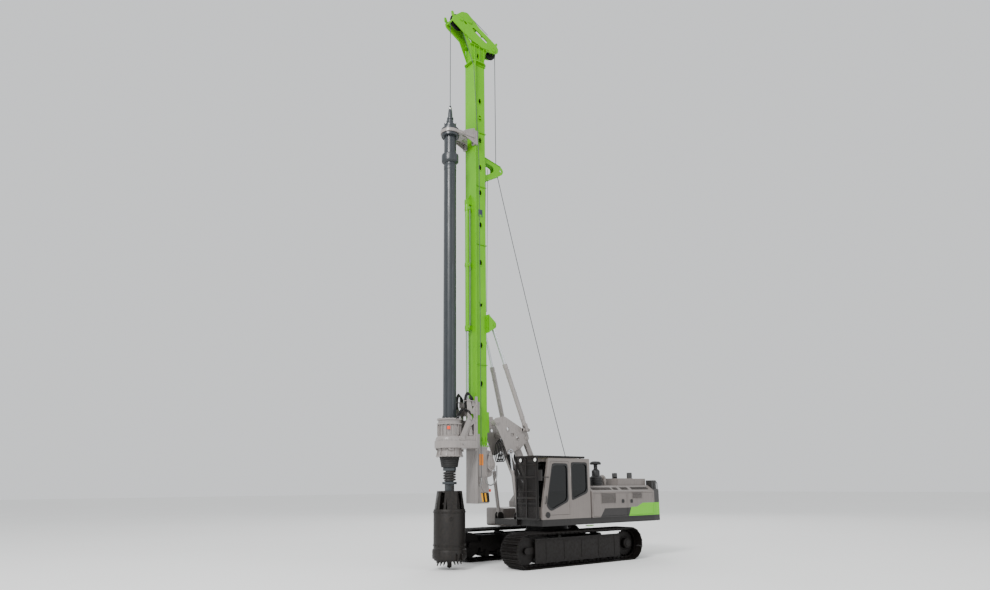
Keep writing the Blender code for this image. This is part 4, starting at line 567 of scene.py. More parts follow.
def mast():
    """The lime box mast with its seat, cylinder ears, rope fin, flanges and strips."""
    eye_x, eye_z = CYL_HEAD
    shapes = box_mast(JOINT_Z, TOP_Z, HOLE_Z)
    shapes += [box((REAR - 0.03, REAR), (-0.33, 0.33), (eye_z - 0.25, eye_z + 0.30)),
               box((2.336, REAR), (-0.20, 0.20), (3.74, 4.34))]
    ear = rounded([(eye_x - 0.07, eye_z - 0.07), (REAR, eye_z - 0.25), (REAR, eye_z + 0.30),
                   (eye_x - 0.07, eye_z + 0.07)], 0.05)
    eye = ring_points((eye_x, eye_z), 0.030)
    for y in (CYL_HEAD_Y + 0.115, CYL_HEAD_Y - 0.09):
        shapes += both_sides(pierced(ear, [eye], y - 0.011, y + 0.011, edge=0.003))
    for near, far in ((0.085, 0.099), (0.326, 0.345)):
        shapes += both_sides(round_bar((eye_x, near, eye_z), (eye_x, far, eye_z), 0.042, 24))
    shapes += both_sides(studs(circle_of((eye_x, 0.327, eye_z), 0.05, 4, "y"), (0, 1, 0), 0.010, 0.010))
    fin = rounded([(REAR, FIN_Z - 0.55), (REAR, FIN_Z + 0.30), (REAR - 0.75, FIN_Z + 0.12),
                   (REAR - 0.81, FIN_Z), (REAR - 0.75, FIN_Z - 0.12)], 0.06)
    window = rounded([(REAR - 0.10, FIN_Z - 0.30), (REAR - 0.10, FIN_Z + 0.14),
                      (REAR - 0.42, FIN_Z + 0.06), (REAR - 0.42, FIN_Z - 0.10)], 0.06)
    ledge = [(REAR, FIN_Z + 0.300), (REAR - 0.70, FIN_Z + 0.135), (REAR - 0.70, FIN_Z + 0.145),
             (REAR, FIN_Z + 0.312)]
    shapes += both_sides(pierced(fin, [window, ring_points((REAR - 0.69, FIN_Z), 0.03)], 0.08, 0.10),
                         slab(ledge, 0.06, 0.12))
    shapes.append(box((REAR - 0.55, REAR - 0.50), (-0.08, 0.08), (FIN_Z - 0.14, FIN_Z + 0.10)))
    for z, half in ((3.345, 0.015), (3.46, 0.015), *((z, 0.008) for z in (5.72, 9.42, 11.3, 13.1, 15.42))):
        shapes += side_strip(z, half)
        shapes.append(box((REAR - 0.03, REAR), (-0.23, 0.23), (z - half, z + half)))
    side_ribs = [(x, y, 3.53) for x in (2.47, 2.60, 2.73) for y in (-0.214, 0.214)]
    shapes += [bars(side_ribs, (0.012, 0.028, 0.14)),
               bars([(2.398, y, 3.53) for y in (-0.15, 0, 0.15)], (0.024, 0.012, 0.14)),
               bars([(2.62, 0.207, z) for z in (7.6, 10.35, 13.6)], (0.09, 0.014, 0.06)),
               bars([(REAR - 0.02, 0.12, z) for z in (5.3, 6.1, 8.6, 10.2)], (0.04, 0.02, 0.05)),
               box((FRONT, 3.02), (-0.06, 0.06), (10.6903, 10.85)),
               slab([(FRONT, 10.85), (2.99, 10.85), (FRONT, 11.05)], -0.012, 0.012)]
    piece("mast_box", shapes, LIME, "mast", ["mast_main"], edge=0.003)
    bolts = [(x, y, 3.36) for x in np.linspace(2.45, 2.77, 5) for y in (-0.222, 0.222)]
    rear_bolts = [(2.39, y, 3.36) for y in (-0.2, -0.1, 0.1, 0.2)]
    piece("mast_flange_bolts", [studs([*bolts, *rear_bolts], (0, 0, 1), 0.013, 0.016),
                                studs(bolts, (0, 0, -1), 0.013, 0.030)], BARE, "mast")
    navy = sprayed("navy_enamel_tag", "#101A38", 0.3, 0.1)
    piece("mast_tags", [box((2.53, 2.68), (0.2005, 0.2065), (10.32, 10.55))], navy, "mast", edge=0.002)


def lower_mast():
    """The grey lower length: rails at its front, a framed side box, a lift link, a bumper and pipes."""
    shapes = box_mast(1.73, JOINT_Z - 0.0003, [])
    for y in (-0.13, -0.045, 0.045, 0.13):
        shapes.append(box((FRONT - 0.002, FRONT + 0.004), (y - 0.010, y + 0.010), (1.76, 3.25)))
    for z in (1.745, 3.315):
        shapes += both_sides(box((REAR - 0.012, CLAW_X), (MAST_HALF, 0.232), (z - 0.014, z + 0.014)))
    rear_box = rounded([(2.215, 2.50), (2.215, 3.20), (2.41, 3.25), (2.41, 2.45)], 0.05)
    frame_out = rounded([(2.425, 2.47), (2.425, 3.24), (2.748, 3.24), (2.748, 2.47)], 0.03)
    frame_in = rounded([(2.450, 2.495), (2.450, 3.215), (2.723, 3.215), (2.723, 2.495)], 0.03)
    plate = [(2.36, 2.10), (2.43, 2.46), (2.75, 2.46), (2.75, 2.36), (2.56, 2.05), (2.41, 2.02)]
    shapes += [slab(rear_box, -0.16, 0.16, edge=0.006), pierced(frame_out, [frame_in], 0.200, 0.214),
               slab(rounded(plate, 0.04), 0.200, 0.214, edge=0.003)]
    piece("mast_foot_length", shapes, PALE, "mast", ["mast_lower"], edge=0.003)
    link = rounded([(2.30, 2.62), (2.16, 2.72), (2.15, 2.88), (2.30, 3.16), (2.36, 3.16), (2.44, 2.88),
                    (2.42, 2.70)], 0.09, 6)
    parts = [pierced(link, [ring_points((2.30, 2.80), 0.045)], 0.222, 0.240, edge=0.003),
             round_bar((2.30, 0.15, 2.80), (2.30, 0.262, 2.80), 0.044, 24),
             round_bar((2.33, 0.15, 3.09), (2.33, 0.255, 3.09), 0.022, 16),
             hollow_bar((2.30, 0.238, 2.80), (2.30, 0.250, 2.80), 0.085, 0.046, 28)]
    piece("mast_lift_link", parts, PALE, "mast", edge=0.002)
    pipe = hose([(2.52, 0.225, 2.42), (2.44, 0.232, 2.28), (2.30, 0.232, 2.24), (2.16, 0.232, 2.34),
                 (2.10, 0.228, 2.52), (2.09, 0.22, 2.80)], 0.018, 12)
    piece("mast_foot_pipe", [pipe], BARE, "mast")
    plate = box((2.56, 2.70), (0.2005, 0.2055), (2.80, 3.12))
    piece("mast_amber_plate", [plate], AMBER, "mast", edge=0.002)
    piece("mast_foot_marker", [box((2.26, 2.36), (0.10, 0.16), (2.05, 2.13))], ORANGE, "mast", edge=0.004)
    bumper = rounded([(2.33, 1.76), (2.60, 1.76), (2.66, 2.04), (2.36, 2.04)], 0.03)
    piece("mast_bumper", [slab(bumper, 0.10, 0.2005, edge=0.01)], SOOT, "mast")
    stripes = [slab([(x, 1.78), (x + 0.05, 1.78), (x + 0.09, 2.02), (x + 0.04, 2.02)], 0.201, 0.2085)
               for x in (2.44, 2.56)]
    piece("mast_bumper_stripe", stripes, YELLOW, "mast")
    screws = [(x, 0.214, z) for x in (2.437, 2.736) for z in np.linspace(2.53, 3.18, 5)]
    piece("mast_box_screws", [studs(screws, (0, 1, 0), 0.009, 0.006)], BARE, "mast")


# Each sheave's middle in x, y and z, and its radius.
SHEAVES = {"main_sheave": (3.33, 0.0, 16.78, 0.26), "aux_sheave": (2.98, 0.135, 16.83, 0.22),
           "rear_sheave": (2.05, 0.0, 16.20, 0.22)}


def slot_points(a, b, half):
    """A slot with round ends from one place to another: a half circle round each."""
    a, b = np.asarray(a), np.asarray(b)
    t = np.linspace(math.pi / 2, 3 * math.pi / 2, 7) + math.atan2(b[1] - a[1], b[0] - a[0])
    end = half * np.stack([np.cos(t), np.sin(t)], -1)
    return np.concatenate([a + end, b - end])


def mast_head():
    """Two long box arms along the mast's top: each an outer and an inner cheek with slots and an edge
    band between them, tied across by a square frame, round tubes and gussets.  Built up from the
    mast's top, then lifted to it."""
    outline = rounded([(2.93, 0.70), (3.62, 1.10), (3.66, 1.22), (3.30, 1.55), (3.08, 1.60), (2.60, 1.25),
                       (1.92, 0.90), (1.84, 0.78), (1.88, 0.62), (2.30, 0.55)], 0.05, 3)
    out = outline - outline.mean(0)
    within = outline - 0.014 * out / np.linalg.norm(out, axis=1, keepdims=True)
    outer_slots = [slot_points((2.36, 0.88), (2.84, 1.12), 0.052),
                   slot_points((3.14, 1.20), (3.18, 1.22), 0.035)]
    inner_slots = [slot_points((2.34, 0.86), (2.46, 0.93), 0.07),
                   slot_points((2.60, 1.0), (2.74, 1.07), 0.07)]
    plinth = [(2.41, 0.03), (2.83, 0.03), (2.90, 0.72), (2.30, 0.60)]
    half = [pierced(outline, outer_slots, 0.213, 0.225), pierced(outline, inner_slots, 0.178, 0.188),
            pierced(outline, [within], 0.188, 0.213),
            pierced(plinth, [ring_points((2.62, 0.27), 0.055, 20, 1.7)], 0.150, 0.168),
            slab([(2.30, 0.60), (2.41, 0.12), (2.41, 0.60)], 0.14, 0.16),
            slab([(2.83, 0.05), (3.20, 0.88), (2.93, 0.70)], 0.15, 0.168)]
    gusset = [(0.168, 0.03), (0.235, 0.03), (0.222, 0.62), (0.168, 0.62)]
    half += [slab(gusset, x - 0.007, x + 0.007, "yz") for x in (2.44, 2.62, 2.80)]
    for corners in ([(3.56, 1.28), (3.68, 1.25), (3.70, 1.42), (3.62, 1.44)],
                    [(1.90, 0.88), (1.98, 0.93), (1.92, 1.02), (1.86, 0.99)]):
        half.append(slab(rounded(corners, 0.03), 0.188, 0.213, edge=0.004))
    crossing = [(2.68, 1.20, 0.18, 0.035, 20), (3.60, 1.18, 0.18, 0.030, 20), (1.93, 0.70, 0.18, 0.022, 20)]
    for x, _, z, _ in SHEAVES.values():
        z -= TOP_Z
        half += [round_bar((x, 0.170, z), (x, 0.246, z), 0.075, 28),
                 studs(circle_of((x, 0.246, z), 0.055, 6, "y"), (0, 1, 0), 0.009, 0.010)]
        crossing.append((x, z, 0.20, 0.040, 24))
    shapes = both_sides(*half)
    shapes += [round_bar((x, -y, z), (x, y, z), radius, sides) for x, z, y, radius, sides in crossing]
    flange = rounded([(2.34, -0.20), (2.46, -0.28), (2.80, -0.28), (2.92, -0.20), (2.92, 0.20),
                      (2.80, 0.28), (2.46, 0.28), (2.34, 0.20)], 0.03, 2)
    shapes += [slab(flange, 0.0003, 0.03, "xy"), box((2.24, 2.95), (-0.225, 0.225), (0.585, 0.600)),
               *(box(x, (-0.18, 0.18), z) for x, z in (((2.50, 2.74), (0.60, 0.70)),
                                                       ((2.41, 2.43), (0.03, 0.60)),
                                                       ((2.81, 2.83), (0.03, 0.60))))]
    piece("head_arms", [moved(shape, (0, 0, TOP_Z)) for shape in shapes], LIME, "mast", ["mast_head"],
          edge=0.003)


def sheave(name):
    """A rope sheave: a turned section with a round-bottomed groove, a thin web and a hub, with bolts."""
    x, y, z, radius = SHEAVES[name]
    t = np.linspace(-1, 1, 9)
    groove = np.stack([radius - 0.004 - 0.032 * (1 - t**2), 0.024 * t], -1)
    side = np.array([(radius, 0.028), (radius, 0.035), (radius - 0.06, 0.035), (radius - 0.065, 0.012),
                     (0.100, 0.012), (0.095, 0.034), (0.0412, 0.034)])
    profile = np.concatenate([groove, side, (side * (1, -1))[::-1]])
    rims = [hollow_bar(p - (0, 0.014, 0), p + (0, 0.014, 0), 0.030, 0.020, 14)
            for p in circle_of((x, y, z), radius * 0.62, 5, "y")]
    bolts = [studs(circle_of((x, y + side * 0.034, z), 0.072, 6, "y"), (0, side, 0), 0.008, 0.008)
             for side in (-1, 1)]
    wheel = turned(profile, (x, y, z), "y", 56, hollow=True)
    piece(name + "_wheel", [wheel, *rims, *bolts], IRON, name, [name])


def feed():
    """The feed cylinder along the mast's front: a lime barrel with clamps, gland and pipes, and its rod."""
    x, low, high = FEED_X, 6.72, 10.69
    shapes = [hollow_bar((x, 0, low), (x, 0, high), 0.066, 0.034, 36),
              hollow_bar((x, 0, low), (x, 0, low + 0.11), 0.075, 0.034, 36),
              round_bar((x, 0, high - 0.10), (x, 0, high), 0.075, 36)]
    clamps = (low + 0.05, (low + high) / 2, high - 0.20)
    for z in clamps:
        shapes += [box((FRONT + 0.0003, x - 0.045), (-0.05, 0.05), (z, z + 0.12)),
                   hollow_bar((x, 0, z), (x, 0, z + 0.12), 0.080, 0.064, 32),
                   *both_sides(box((x - 0.02, x + 0.02), (0.062, 0.11), (z + 0.01, z + 0.11)))]
    piece("feed_barrel", shapes, LIME, "mast", ["crowd_barrel"], edge=0.002)
    pipe = swept([(x - 0.02, 0.092, low + 0.08), (x - 0.03, 0.092, 9.0), (x - 0.03, 0.092, high - 0.08)],
                 0.012)
    bolts = studs([(x + 0.02, 0.095, z + 0.06) for z in clamps], (1, 0, 0), 0.012, 0.014)
    piece("feed_pipes", both_sides(pipe, bolts), BARE, "mast")
    piece("feed_rod", [round_bar((x, 0, 4.6003), (x, 0, 8.32), 0.0325, 32)], CHROME, "drive", ["crowd_rod"])
    eye = rounded([(x - 0.06, 4.605), (x + 0.06, 4.605), (x + 0.05, 4.70), (x - 0.05, 4.70)], 0.03)
    piece("feed_rod_eye", [slab(eye, -0.05, 0.05, edge=0.005),
                           hollow_bar((x, 0, 4.69), (x, 0, 4.71), 0.045, 0.031, 24)], PALE, "drive")


# ------------------------------------------------------------------ kelly bar, drive, guide and bucket
KELLY_X = 3.59
AXIS = (KELLY_X, 0, 0)
# Section of a claw that grips a rail from its front, its edge and its rear.
CLAW = [(2.7594, 0.212), (2.7594, 0.3156), (2.8906, 0.3156), (2.8906, 0.16), (2.8306, 0.16),
        (2.8306, 0.2706), (2.7994, 0.2706), (2.7994, 0.212)]


def about(profile, sides, hollow=False):
    """A shape turned round the kelly bar's axis."""
    return turned(profile, AXIS, sides=sides, hollow=hollow)


def spokes(angles, place, size):
    """Boxes round the kelly bar's axis: one box at a place, turned with it by each angle."""
    turns = np.stack([turn_about("z", angle) for angle in angles])
    return bars(turns @ place + AXIS, size, turns)


def band(inner, outer, low, high, edge):
    """The section of a ring whose outer corners are cut by the edge."""
    return [(inner, low), (outer - edge, low), (outer, low + edge), (outer, high - edge),
            (outer - edge, high), (inner, high)]


def kelly():
    """The outer tube with upright keys that carry the torque, its collars, rope swivel, spring and stub."""
    x = KELLY_X
    profiles = [([(0.150, 2.700), (0.176, 2.706), (0.176, 13.10), (0.150, 13.10)], 48),
                ([(0.178, 11.84), (0.215, 11.86), (0.255, 11.90), (0.260, 11.93), (0.260, 12.09),
                  (0.255, 12.12), (0.215, 12.14), (0.178, 12.16)], 56),
                ([(0.176, 11.62), (0.192, 11.64), (0.196, 11.76), (0.178, 11.80)], 48),
                (band(0.180, 0.270, 12.9006, 12.98, 0.007), 56),
                (band(0.180, 0.270, 12.714, 12.794, 0.007), 56),
                ([(0.180, 12.98), (0.200, 12.985), (0.200, 13.04), (0.187, 13.06), (0.187, 13.12),
                  (0.090, 13.14), (0.086, 13.16), (0.086, 13.30), (0.100, 13.31), (0.100, 13.36),
                  (0.086, 13.38), (0.072, 13.40), (0.068, 13.50), (0.060, 13.60), (0.040, 13.70),
                  (0.030, 13.77)], 36),
                ([(0.20, 2.270), (0.205, 2.276), (0.205, 2.334), (0.20, 2.340)], 48),
                ([(0.118, 2.33), (0.118, 2.71)], 36),
                ([(0.182, 2.64), (0.187, 2.65), (0.187, 2.73), (0.178, 2.74)], 48)]
    shapes = [about(profile, sides) for profile, sides in profiles]
    stub = rounded([(x - 0.1, -0.1), (x + 0.1, -0.1), (x + 0.1, 0.1), (x - 0.1, 0.1)], 0.016, 3)
    shapes += [spokes(range(22, 382, 60), (0.1745, 0, 8.0), (0.024, 0.034, 10.4)),
               spokes(range(0, 360, 60), (0.247, 0, 12.01), (0.02, 0.02, 0.16)),
               slab(stub, 2.0903, 2.275, "xy"),
               studs(circle_of((x, 0, 12.98), 0.236, 12), (0, 0, 1), 0.013, 0.014),
               studs(circle_of((x, 0, 12.714), 0.236, 12), (0, 0, -1), 0.013, 0.012)]
    piece("kelly_tube", shapes, KELLY, "kelly", ["kelly_bar"], edge=0.002)
    t = np.linspace(0, 2 * np.pi * 3.6, 120)
    coil = np.stack([x + 0.158 * np.cos(t), 0.158 * np.sin(t), 2.372 + 0.255 * t / t[-1]], -1)
    piece("kelly_spring", [swept(coil, 0.026, 12)], SOOT, "kelly")
    pin = [round_bar((x, -0.088, 13.335), (x, 0.088, 13.335), 0.022, 20),
           hollow_bar((x, 0, 13.62), (x, 0, 13.70), 0.052, 0.04, 24)]
    piece("kelly_clevis_pin", pin, BARE, "kelly")


def drive():
    """The rotary head: gearbox plate, domed shoulder, ribbed cage and flanges, a flared skirt, motors,
    and the carriage with its arms, side rails, beam and claws."""
    x = KELLY_X
    low, high = 3.26, 3.47
    back = FRONT + 0.021
    plate = [(back, -0.40), (3.20, -0.44), (3.72, -0.42), (3.98, -0.20), (4.03, 0), (3.98, 0.20),
             (3.72, 0.42), (3.20, 0.44), (back, 0.40)]
    shoulder = [(0.200, high - 0.03), (0.400, high - 0.01), (0.395, high + 0.05), (0.375, high + 0.10),
                (0.340, high + 0.135), (0.315, high + 0.15), (0.315, 3.90), (0.30, 4.08), (0.200, 4.08)]
    profiles = [(shoulder, 64),
                (band(0.198, 0.360, 3.92, 3.965, 0.006), 64), (band(0.198, 0.360, 4.045, 4.090, 0.006), 64),
                ([(0.198, 3.965), (0.325, 3.965), (0.325, 4.045), (0.198, 4.045)], 48),
                ([(0.198, 3.03), (0.385, 3.03), (0.388, 3.055), (0.335, 3.075), (0.325, 3.10),
                  (0.320, 3.27), (0.198, 3.27)], 64)]
    gusset = slab([(0.315, 3.07), (0.378, 3.062), (0.335, 3.26), (0.315, 3.26)], -0.008, 0.008)
    shapes = [pierced(rounded(plate, 0.08, 3), [ring_points((x, 0), 0.197, 48)], low, high, "xy", 0.012),
              *(about(profile, sides, True) for profile, sides in profiles),
              spokes(range(0, 360, 20), (0.332, 0, 3.77), (0.045, 0.014, 0.30)),
              *(moved(gusset, AXIS, turn_about("z", angle)) for angle in range(10, 370, 36)),
              box((FEED_X - 0.075, FEED_X + 0.075), (-0.33, 0.33), (4.46, 4.60)),
              box((2.885, 2.91), (-0.30, 0.30), (3.50, 4.10))]
    outer = rounded([(2.885, low + 0.02), (3.40, low + 0.02), (3.42, high), (3.30, 3.78), (3.20, 4.05),
                     (3.22, 4.64), (3.12, 4.66), (3.03, 4.36), (2.885, 4.62)], 0.04, 3)
    gap = rounded([(2.98, 3.62), (3.22, 3.60), (3.12, 3.86), (2.98, 3.98)], 0.05)
    notch = rounded([(2.98, 4.12), (3.10, 4.02), (3.12, 4.24), (2.99, 4.24)], 0.03)
    arm = rounded([(3.36, 3.50), (3.52, 3.50), (3.20, 4.16), (3.10, 4.20), (3.06, 4.12)], 0.05)
    bracket = rounded([(3.30, 3.475), (3.58, 3.475), (3.52, 3.60), (3.36, 3.60)], 0.03)
    ear = rounded([(3.66, 3.20), (3.80, 3.20), (3.86, 3.26), (3.66, 3.28)], 0.02)
    motor = [(0.105, high - 0.02), (0.105, 3.78), (0.092, 3.80), (0.092, 3.86), (0.060, 3.88)]
    shapes += both_sides(
        turned(motor, (3.08, 0.23, 0), sides=32),
        turned([(0.118, 3.62), (0.125, 3.63), (0.125, 3.66), (0.118, 3.67)], (3.08, 0.23, 0), sides=32),
        pierced(outer, [gap, notch], 0.315, 0.345, edge=0.004),
        slab(arm, 0.345, 0.372, edge=0.004), slab(bracket, 0.345, 0.40, edge=0.004),
        box((2.872, 2.945), (0.332, 0.362), (3.20, 4.74)), box((2.868, 3.24), (0.20, 0.365), (4.60, 4.618)),
        round_bar((3.12, 0.33, 4.10), (3.12, 0.392, 4.10), 0.045, 24),
        round_bar((3.44, 0.34, 3.55), (3.44, 0.408, 3.55), 0.038, 24),
        round_bar((3.42, 0.435, 3.37), (3.42, 0.452, 3.37), 0.032, 20),
        slab(CLAW, low + 0.02, low + 0.42, "xy"), slab(CLAW, 4.22, 4.60, "xy"),
        pierced(ear, [ring_points((3.76, 3.235), 0.014, 12)], 0.30, 0.33))
    piece("drive_casting", shapes, PALE, "drive", ["rotary_drive"], edge=0.003)
    boot = [(0.280, 3.035), (0.282, 3.00), (0.272, 2.985), (0.276, 2.95), (0.262, 2.935), (0.266, 2.90),
            (0.252, 2.885), (0.256, 2.85), (0.243, 2.835), (0.247, 2.80), (0.236, 2.785), (0.238, 2.745),
            (0.228, 2.74), (0.222, 2.76), (0.262, 3.03)]
    piece("drive_boot", [about(boot, 64, True)], RUBBER, "drive")
    cap = turned([(0.070, 3.87), (0.070, 3.93), (0.055, 3.97), (0.030, 4.00)], (3.08, 0.23, 0), sides=24)
    piece("motor_caps", both_sides(cap), PLASTIC, "drive")
    piece("drive_orange_plate", [spokes([52], (0.362, 0, 3.82), (0.010, 0.085, 0.085))], ORANGE, "drive",
          edge=0.002)
    rail_bolts = studs([(2.908, 0.3625, z) for z in np.linspace(3.3, 4.66, 9)], (0, 1, 0), 0.011, 0.010)
    bolts = [*both_sides(rail_bolts), studs(circle_of((x, 0, 4.09), 0.335, 20), (0, 0, 1), 0.013, 0.016),
             studs(circle_of((x, 0, 3.92), 0.343, 20), (0, 0, -1), 0.011, 0.020),
             studs(circle_of((x, 0, high + 0.004), 0.418, 20, first=9)[:16], (0, 0, 1), 0.011, 0.012),
             studs(circle_of((x, 0, 3.03), 0.362, 20), (0, 0, -1), 0.011, 0.014),
             round_bar((3.42, 0.44, 3.37), (3.42, 0.475, 3.37), 0.020, 12)]
    piece("drive_bolts", bolts, BARE, "drive")
    loops = []
    for k in range(3):
        y, ahead = 0.30 + 0.035 * k, 0.05 * k
        loops.append(hose([(3.08, 0.23, 3.96), (3.14, y, 4.20 + 0.04 * k), (3.30 + ahead, y, 4.34),
                           (3.46 + ahead, 0.33 + 0.02 * k, 4.22),
                           (3.50 + ahead, 0.33 + 0.015 * k, 4.06)], 0.015))
    for k in range(4):
        rise = 0.02 * k
        loops.append(hose([(2.96 + 0.03 * k, 0.24, 4.60), (2.97 + 0.03 * k, 0.25, 4.72 + rise),
                           (3.08 + rise, 0.22, 4.80 + rise), (3.16 + rise, 0.21, 4.70),
                           (3.16 + rise, 0.22, 4.40)], 0.014))
    piece("drive_hoses", both_sides(*loops), RUBBER, "drive")


def guide():
    """The yoke round the kelly bar's head: two plates on a ring, with gussets and rail claws."""
    x, reach, low = KELLY_X, FRONT + 0.03, 12.80
    t = np.linspace(np.pi / 2, -np.pi / 2, 15)
    nose = np.stack([x + 0.30 * np.cos(t), 0.30 * np.sin(t)], -1)
    outline = np.concatenate([[(reach, 0.16), (reach, 0.32), (x - 0.10, 0.30)], nose, [(x - 0.10, -0.30),
                              (reach, -0.32), (reach, -0.16), (3.11, -0.11), (3.11, 0.11)]])
    windows = [rounded([(2.96, side * 0.19), (3.22, side * 0.16), (3.30, side * 0.22), (2.96, side * 0.26)],
                       0.03) for side in (-1, 1)]
    web = rounded([(reach, 12.62), (reach, 13.14), (3.10, 13.04), (3.34, 12.89), (3.34, 12.81),
                   (3.05, 12.70)], 0.03)
    shapes = [pierced(outline, [ring_points((x, 0), 0.193, 48), *windows], low, 12.90, "xy", 0.004),
              *both_sides(slab(web, 0.272, 0.292, edge=0.003), slab(CLAW, 12.60, 13.05, "xy"),
                          round_bar((3.30, 0.285, 12.86), (3.30, 0.330, 12.86), 0.035, 20))]
    piece("guide_yoke", shapes, PALE, "guide", ["kelly_guide"], edge=0.003)
    claw_bolts = [(2.8906, y, z) for y in (-0.20, 0.20) for z in (12.66, 12.76, 12.94, 13.0)]
    piece("guide_bolts", [studs(circle_of((x, 0, low), 0.282, 14), (0, 0, -1), 0.009, 0.010),
                          studs(claw_bolts, (1, 0, 0), 0.012, 0.012)], BARE, "guide")


def bucket():
    """The drilling bucket: a rolled drum with a thick toothed rim, a hinge, a vent, and an eight-sided
    crown of leaning plates round a pipe; its floor carries cutting teeth round a pilot."""
    x = KELLY_X
    lid_top = 0.2894                 # 0.6 mm under the drum's edge
    hinge_y, hinge_z = 0.505, lid_top - 0.025
    drum = [(0.420, 0.29), (0.470, 0.29), (0.470, 0.515), (0.462, 0.53), (0.442, 0.535), (0.440, 0.56),
            (0.440, 1.575), (0.430, 1.600), (0.120, 1.600), (0.120, 1.572), (0.420, 1.572)]
    shapes = [about(drum, 72, True)]
    for z in (0.62, 1.50):
        hoop = [(0.436, z), (0.448, z + 0.004), (0.448, z + 0.040), (0.436, z + 0.044)]
        shapes.append(about(hoop, 72, True))
    for k in range(8):
        turn = turn_about("z", 45 * k + 22.5)
        plates = [(0.350, 0, 1.845)] if k % 2 else [(0.352, side * 0.105, 1.845) for side in (-1, 1)]
        shapes.append(bars(plates @ turn.T + AXIS, (0.022, 0.29 if k % 2 else 0.075, 0.50),
                           turn @ turn_about("y", -8.5)))
    bracket = rounded([(0.43, 0.45), (0.535, 0.42), (0.535, hinge_z - 0.03), (0.478, hinge_z - 0.03),
                       (0.478, 0.30), (0.43, 0.30)], 0.02)
    for outer, bore, low, high in ((0.345, 0.085, 2.055, 2.0895), (0.19, 0.08, 2.040, 2.056)):
        rim, hole = ring_points((x, 0), outer, 8), ring_points((x, 0), bore, 24)
        shapes.append(pierced(rim, [hole], low, high, "xy"))
    shapes += [hollow_bar((x, 0, 1.60), (x, 0, 2.05), 0.085, 0.06, 32),
               spokes((0, 90, 180, 270), (0.21, 0, 1.80), (0.26, 0.016, 0.40)),
               *(slab(bracket, x + at - 0.015, x + at + 0.015, "yz") for at in (-0.072, 0.072)),
               round_bar((x - 0.087, hinge_y, hinge_z), (x + 0.087, hinge_y, hinge_z), 0.014, 20)]
    hook = rounded([(-0.52, 1.40), (-0.44, 1.40), (-0.42, 1.66), (-0.50, 1.66)], 0.02)
    shapes += [box((x - 0.05, x + 0.05), (-0.520, -0.46), (0.31, 0.52)),
               round_bar((x, -0.50, 0.50), (x, -0.50, 1.58), 0.018, 14),
               *(box((x - 0.03, x + 0.03), (-0.515, -0.435), (z, z + 0.05)) for z in (0.80, 1.30)),
               slab(hook, x - 0.02, x + 0.02, "yz")]
    piece("bucket_drum", shapes, BUCKET, "kelly", ["bucket_body"], edge=0.003)
    bolts = []
    for z, count, radius in ((0.36, 18, 0.470), (0.46, 18, 0.470), (0.64, 24, 0.448), (1.52, 24, 0.448)):
        for place in circle_of((x, 0, z), radius, count):
            bolts.append(studs([place], place - (x, 0, z), 0.015, 0.009))
    for place in circle_of((x, 0, 1.75), 0.372, 8, first=30.5):
        bolts.append(studs([place], place - (x, 0, 1.75), 0.022, 0.016, 8))
    turn = turn_about("z", 62)
    vent = turn @ (0.432, 0, 1.36) + AXIS
    bolts += [round_bar((x + 0.10, 0.30, 2.088), (x + 0.10, 0.30, 2.20), 0.022, 12),
              round_bar((x + 0.10, 0.30, 2.185), (x + 0.10, 0.30, 2.225), 0.038, 12),
              hollow_bar(vent, vent + turn @ (0.020, 0, 0), 0.055, 0.036, 24)]
    piece("bucket_bolts", bolts, BUCKET, "kelly")
    floor = [about([(0.060, lid_top - 0.05), (0.412, lid_top - 0.05), (0.420, lid_top - 0.042),
                    (0.420, lid_top)], 64),
             about([(0.020, 0.030), (0.030, 0.045), (0.060, 0.150), (0.090, lid_top - 0.03)], 24),
             spokes((0, 120, 240), (0.045, 0, 0.10), (0.05, 0.014, 0.10)),
             box((x - 0.05, x + 0.05), (0.38, hinge_y), (hinge_z - 0.02, hinge_z + 0.02)),
             hollow_bar((x - 0.05, hinge_y, hinge_z), (x + 0.05, hinge_y, hinge_z), 0.024, 0.015, 20)]
    for off in 0.105 * np.array((-3.5, -2.5, -1.5, 1.5, 2.5, 3.5)):
        way, at = -np.sign(off), x + off
        floor += [bars([(at, 0, 0.222)], (0.062, 0.085, 0.06)),
                  round_bar((at, -way * 0.02, 0.225), (at, way * 0.045, 0.105), 0.034, 12, 0.012),
                  turned([(0.030, 0.190), (0.034, 0.196), (0.034, 0.210)], (at, 0, 0), sides=12)]
    piece("bucket_lid", floor, BUCKET, "bucket_floor", ["bucket_floor"], edge=0.002)


def round_sheave(name, first, last, steps, groove):
    """A rope's path round a sheave, a groove's depth off its rim, between two angles in radians."""
    x, y, z, radius = SHEAVES[name]
    t = np.linspace(first, last, steps)
    return np.stack([x + (radius + groove) * np.cos(t), y + 0 * t, z + (radius + groove) * np.sin(t)], -1)


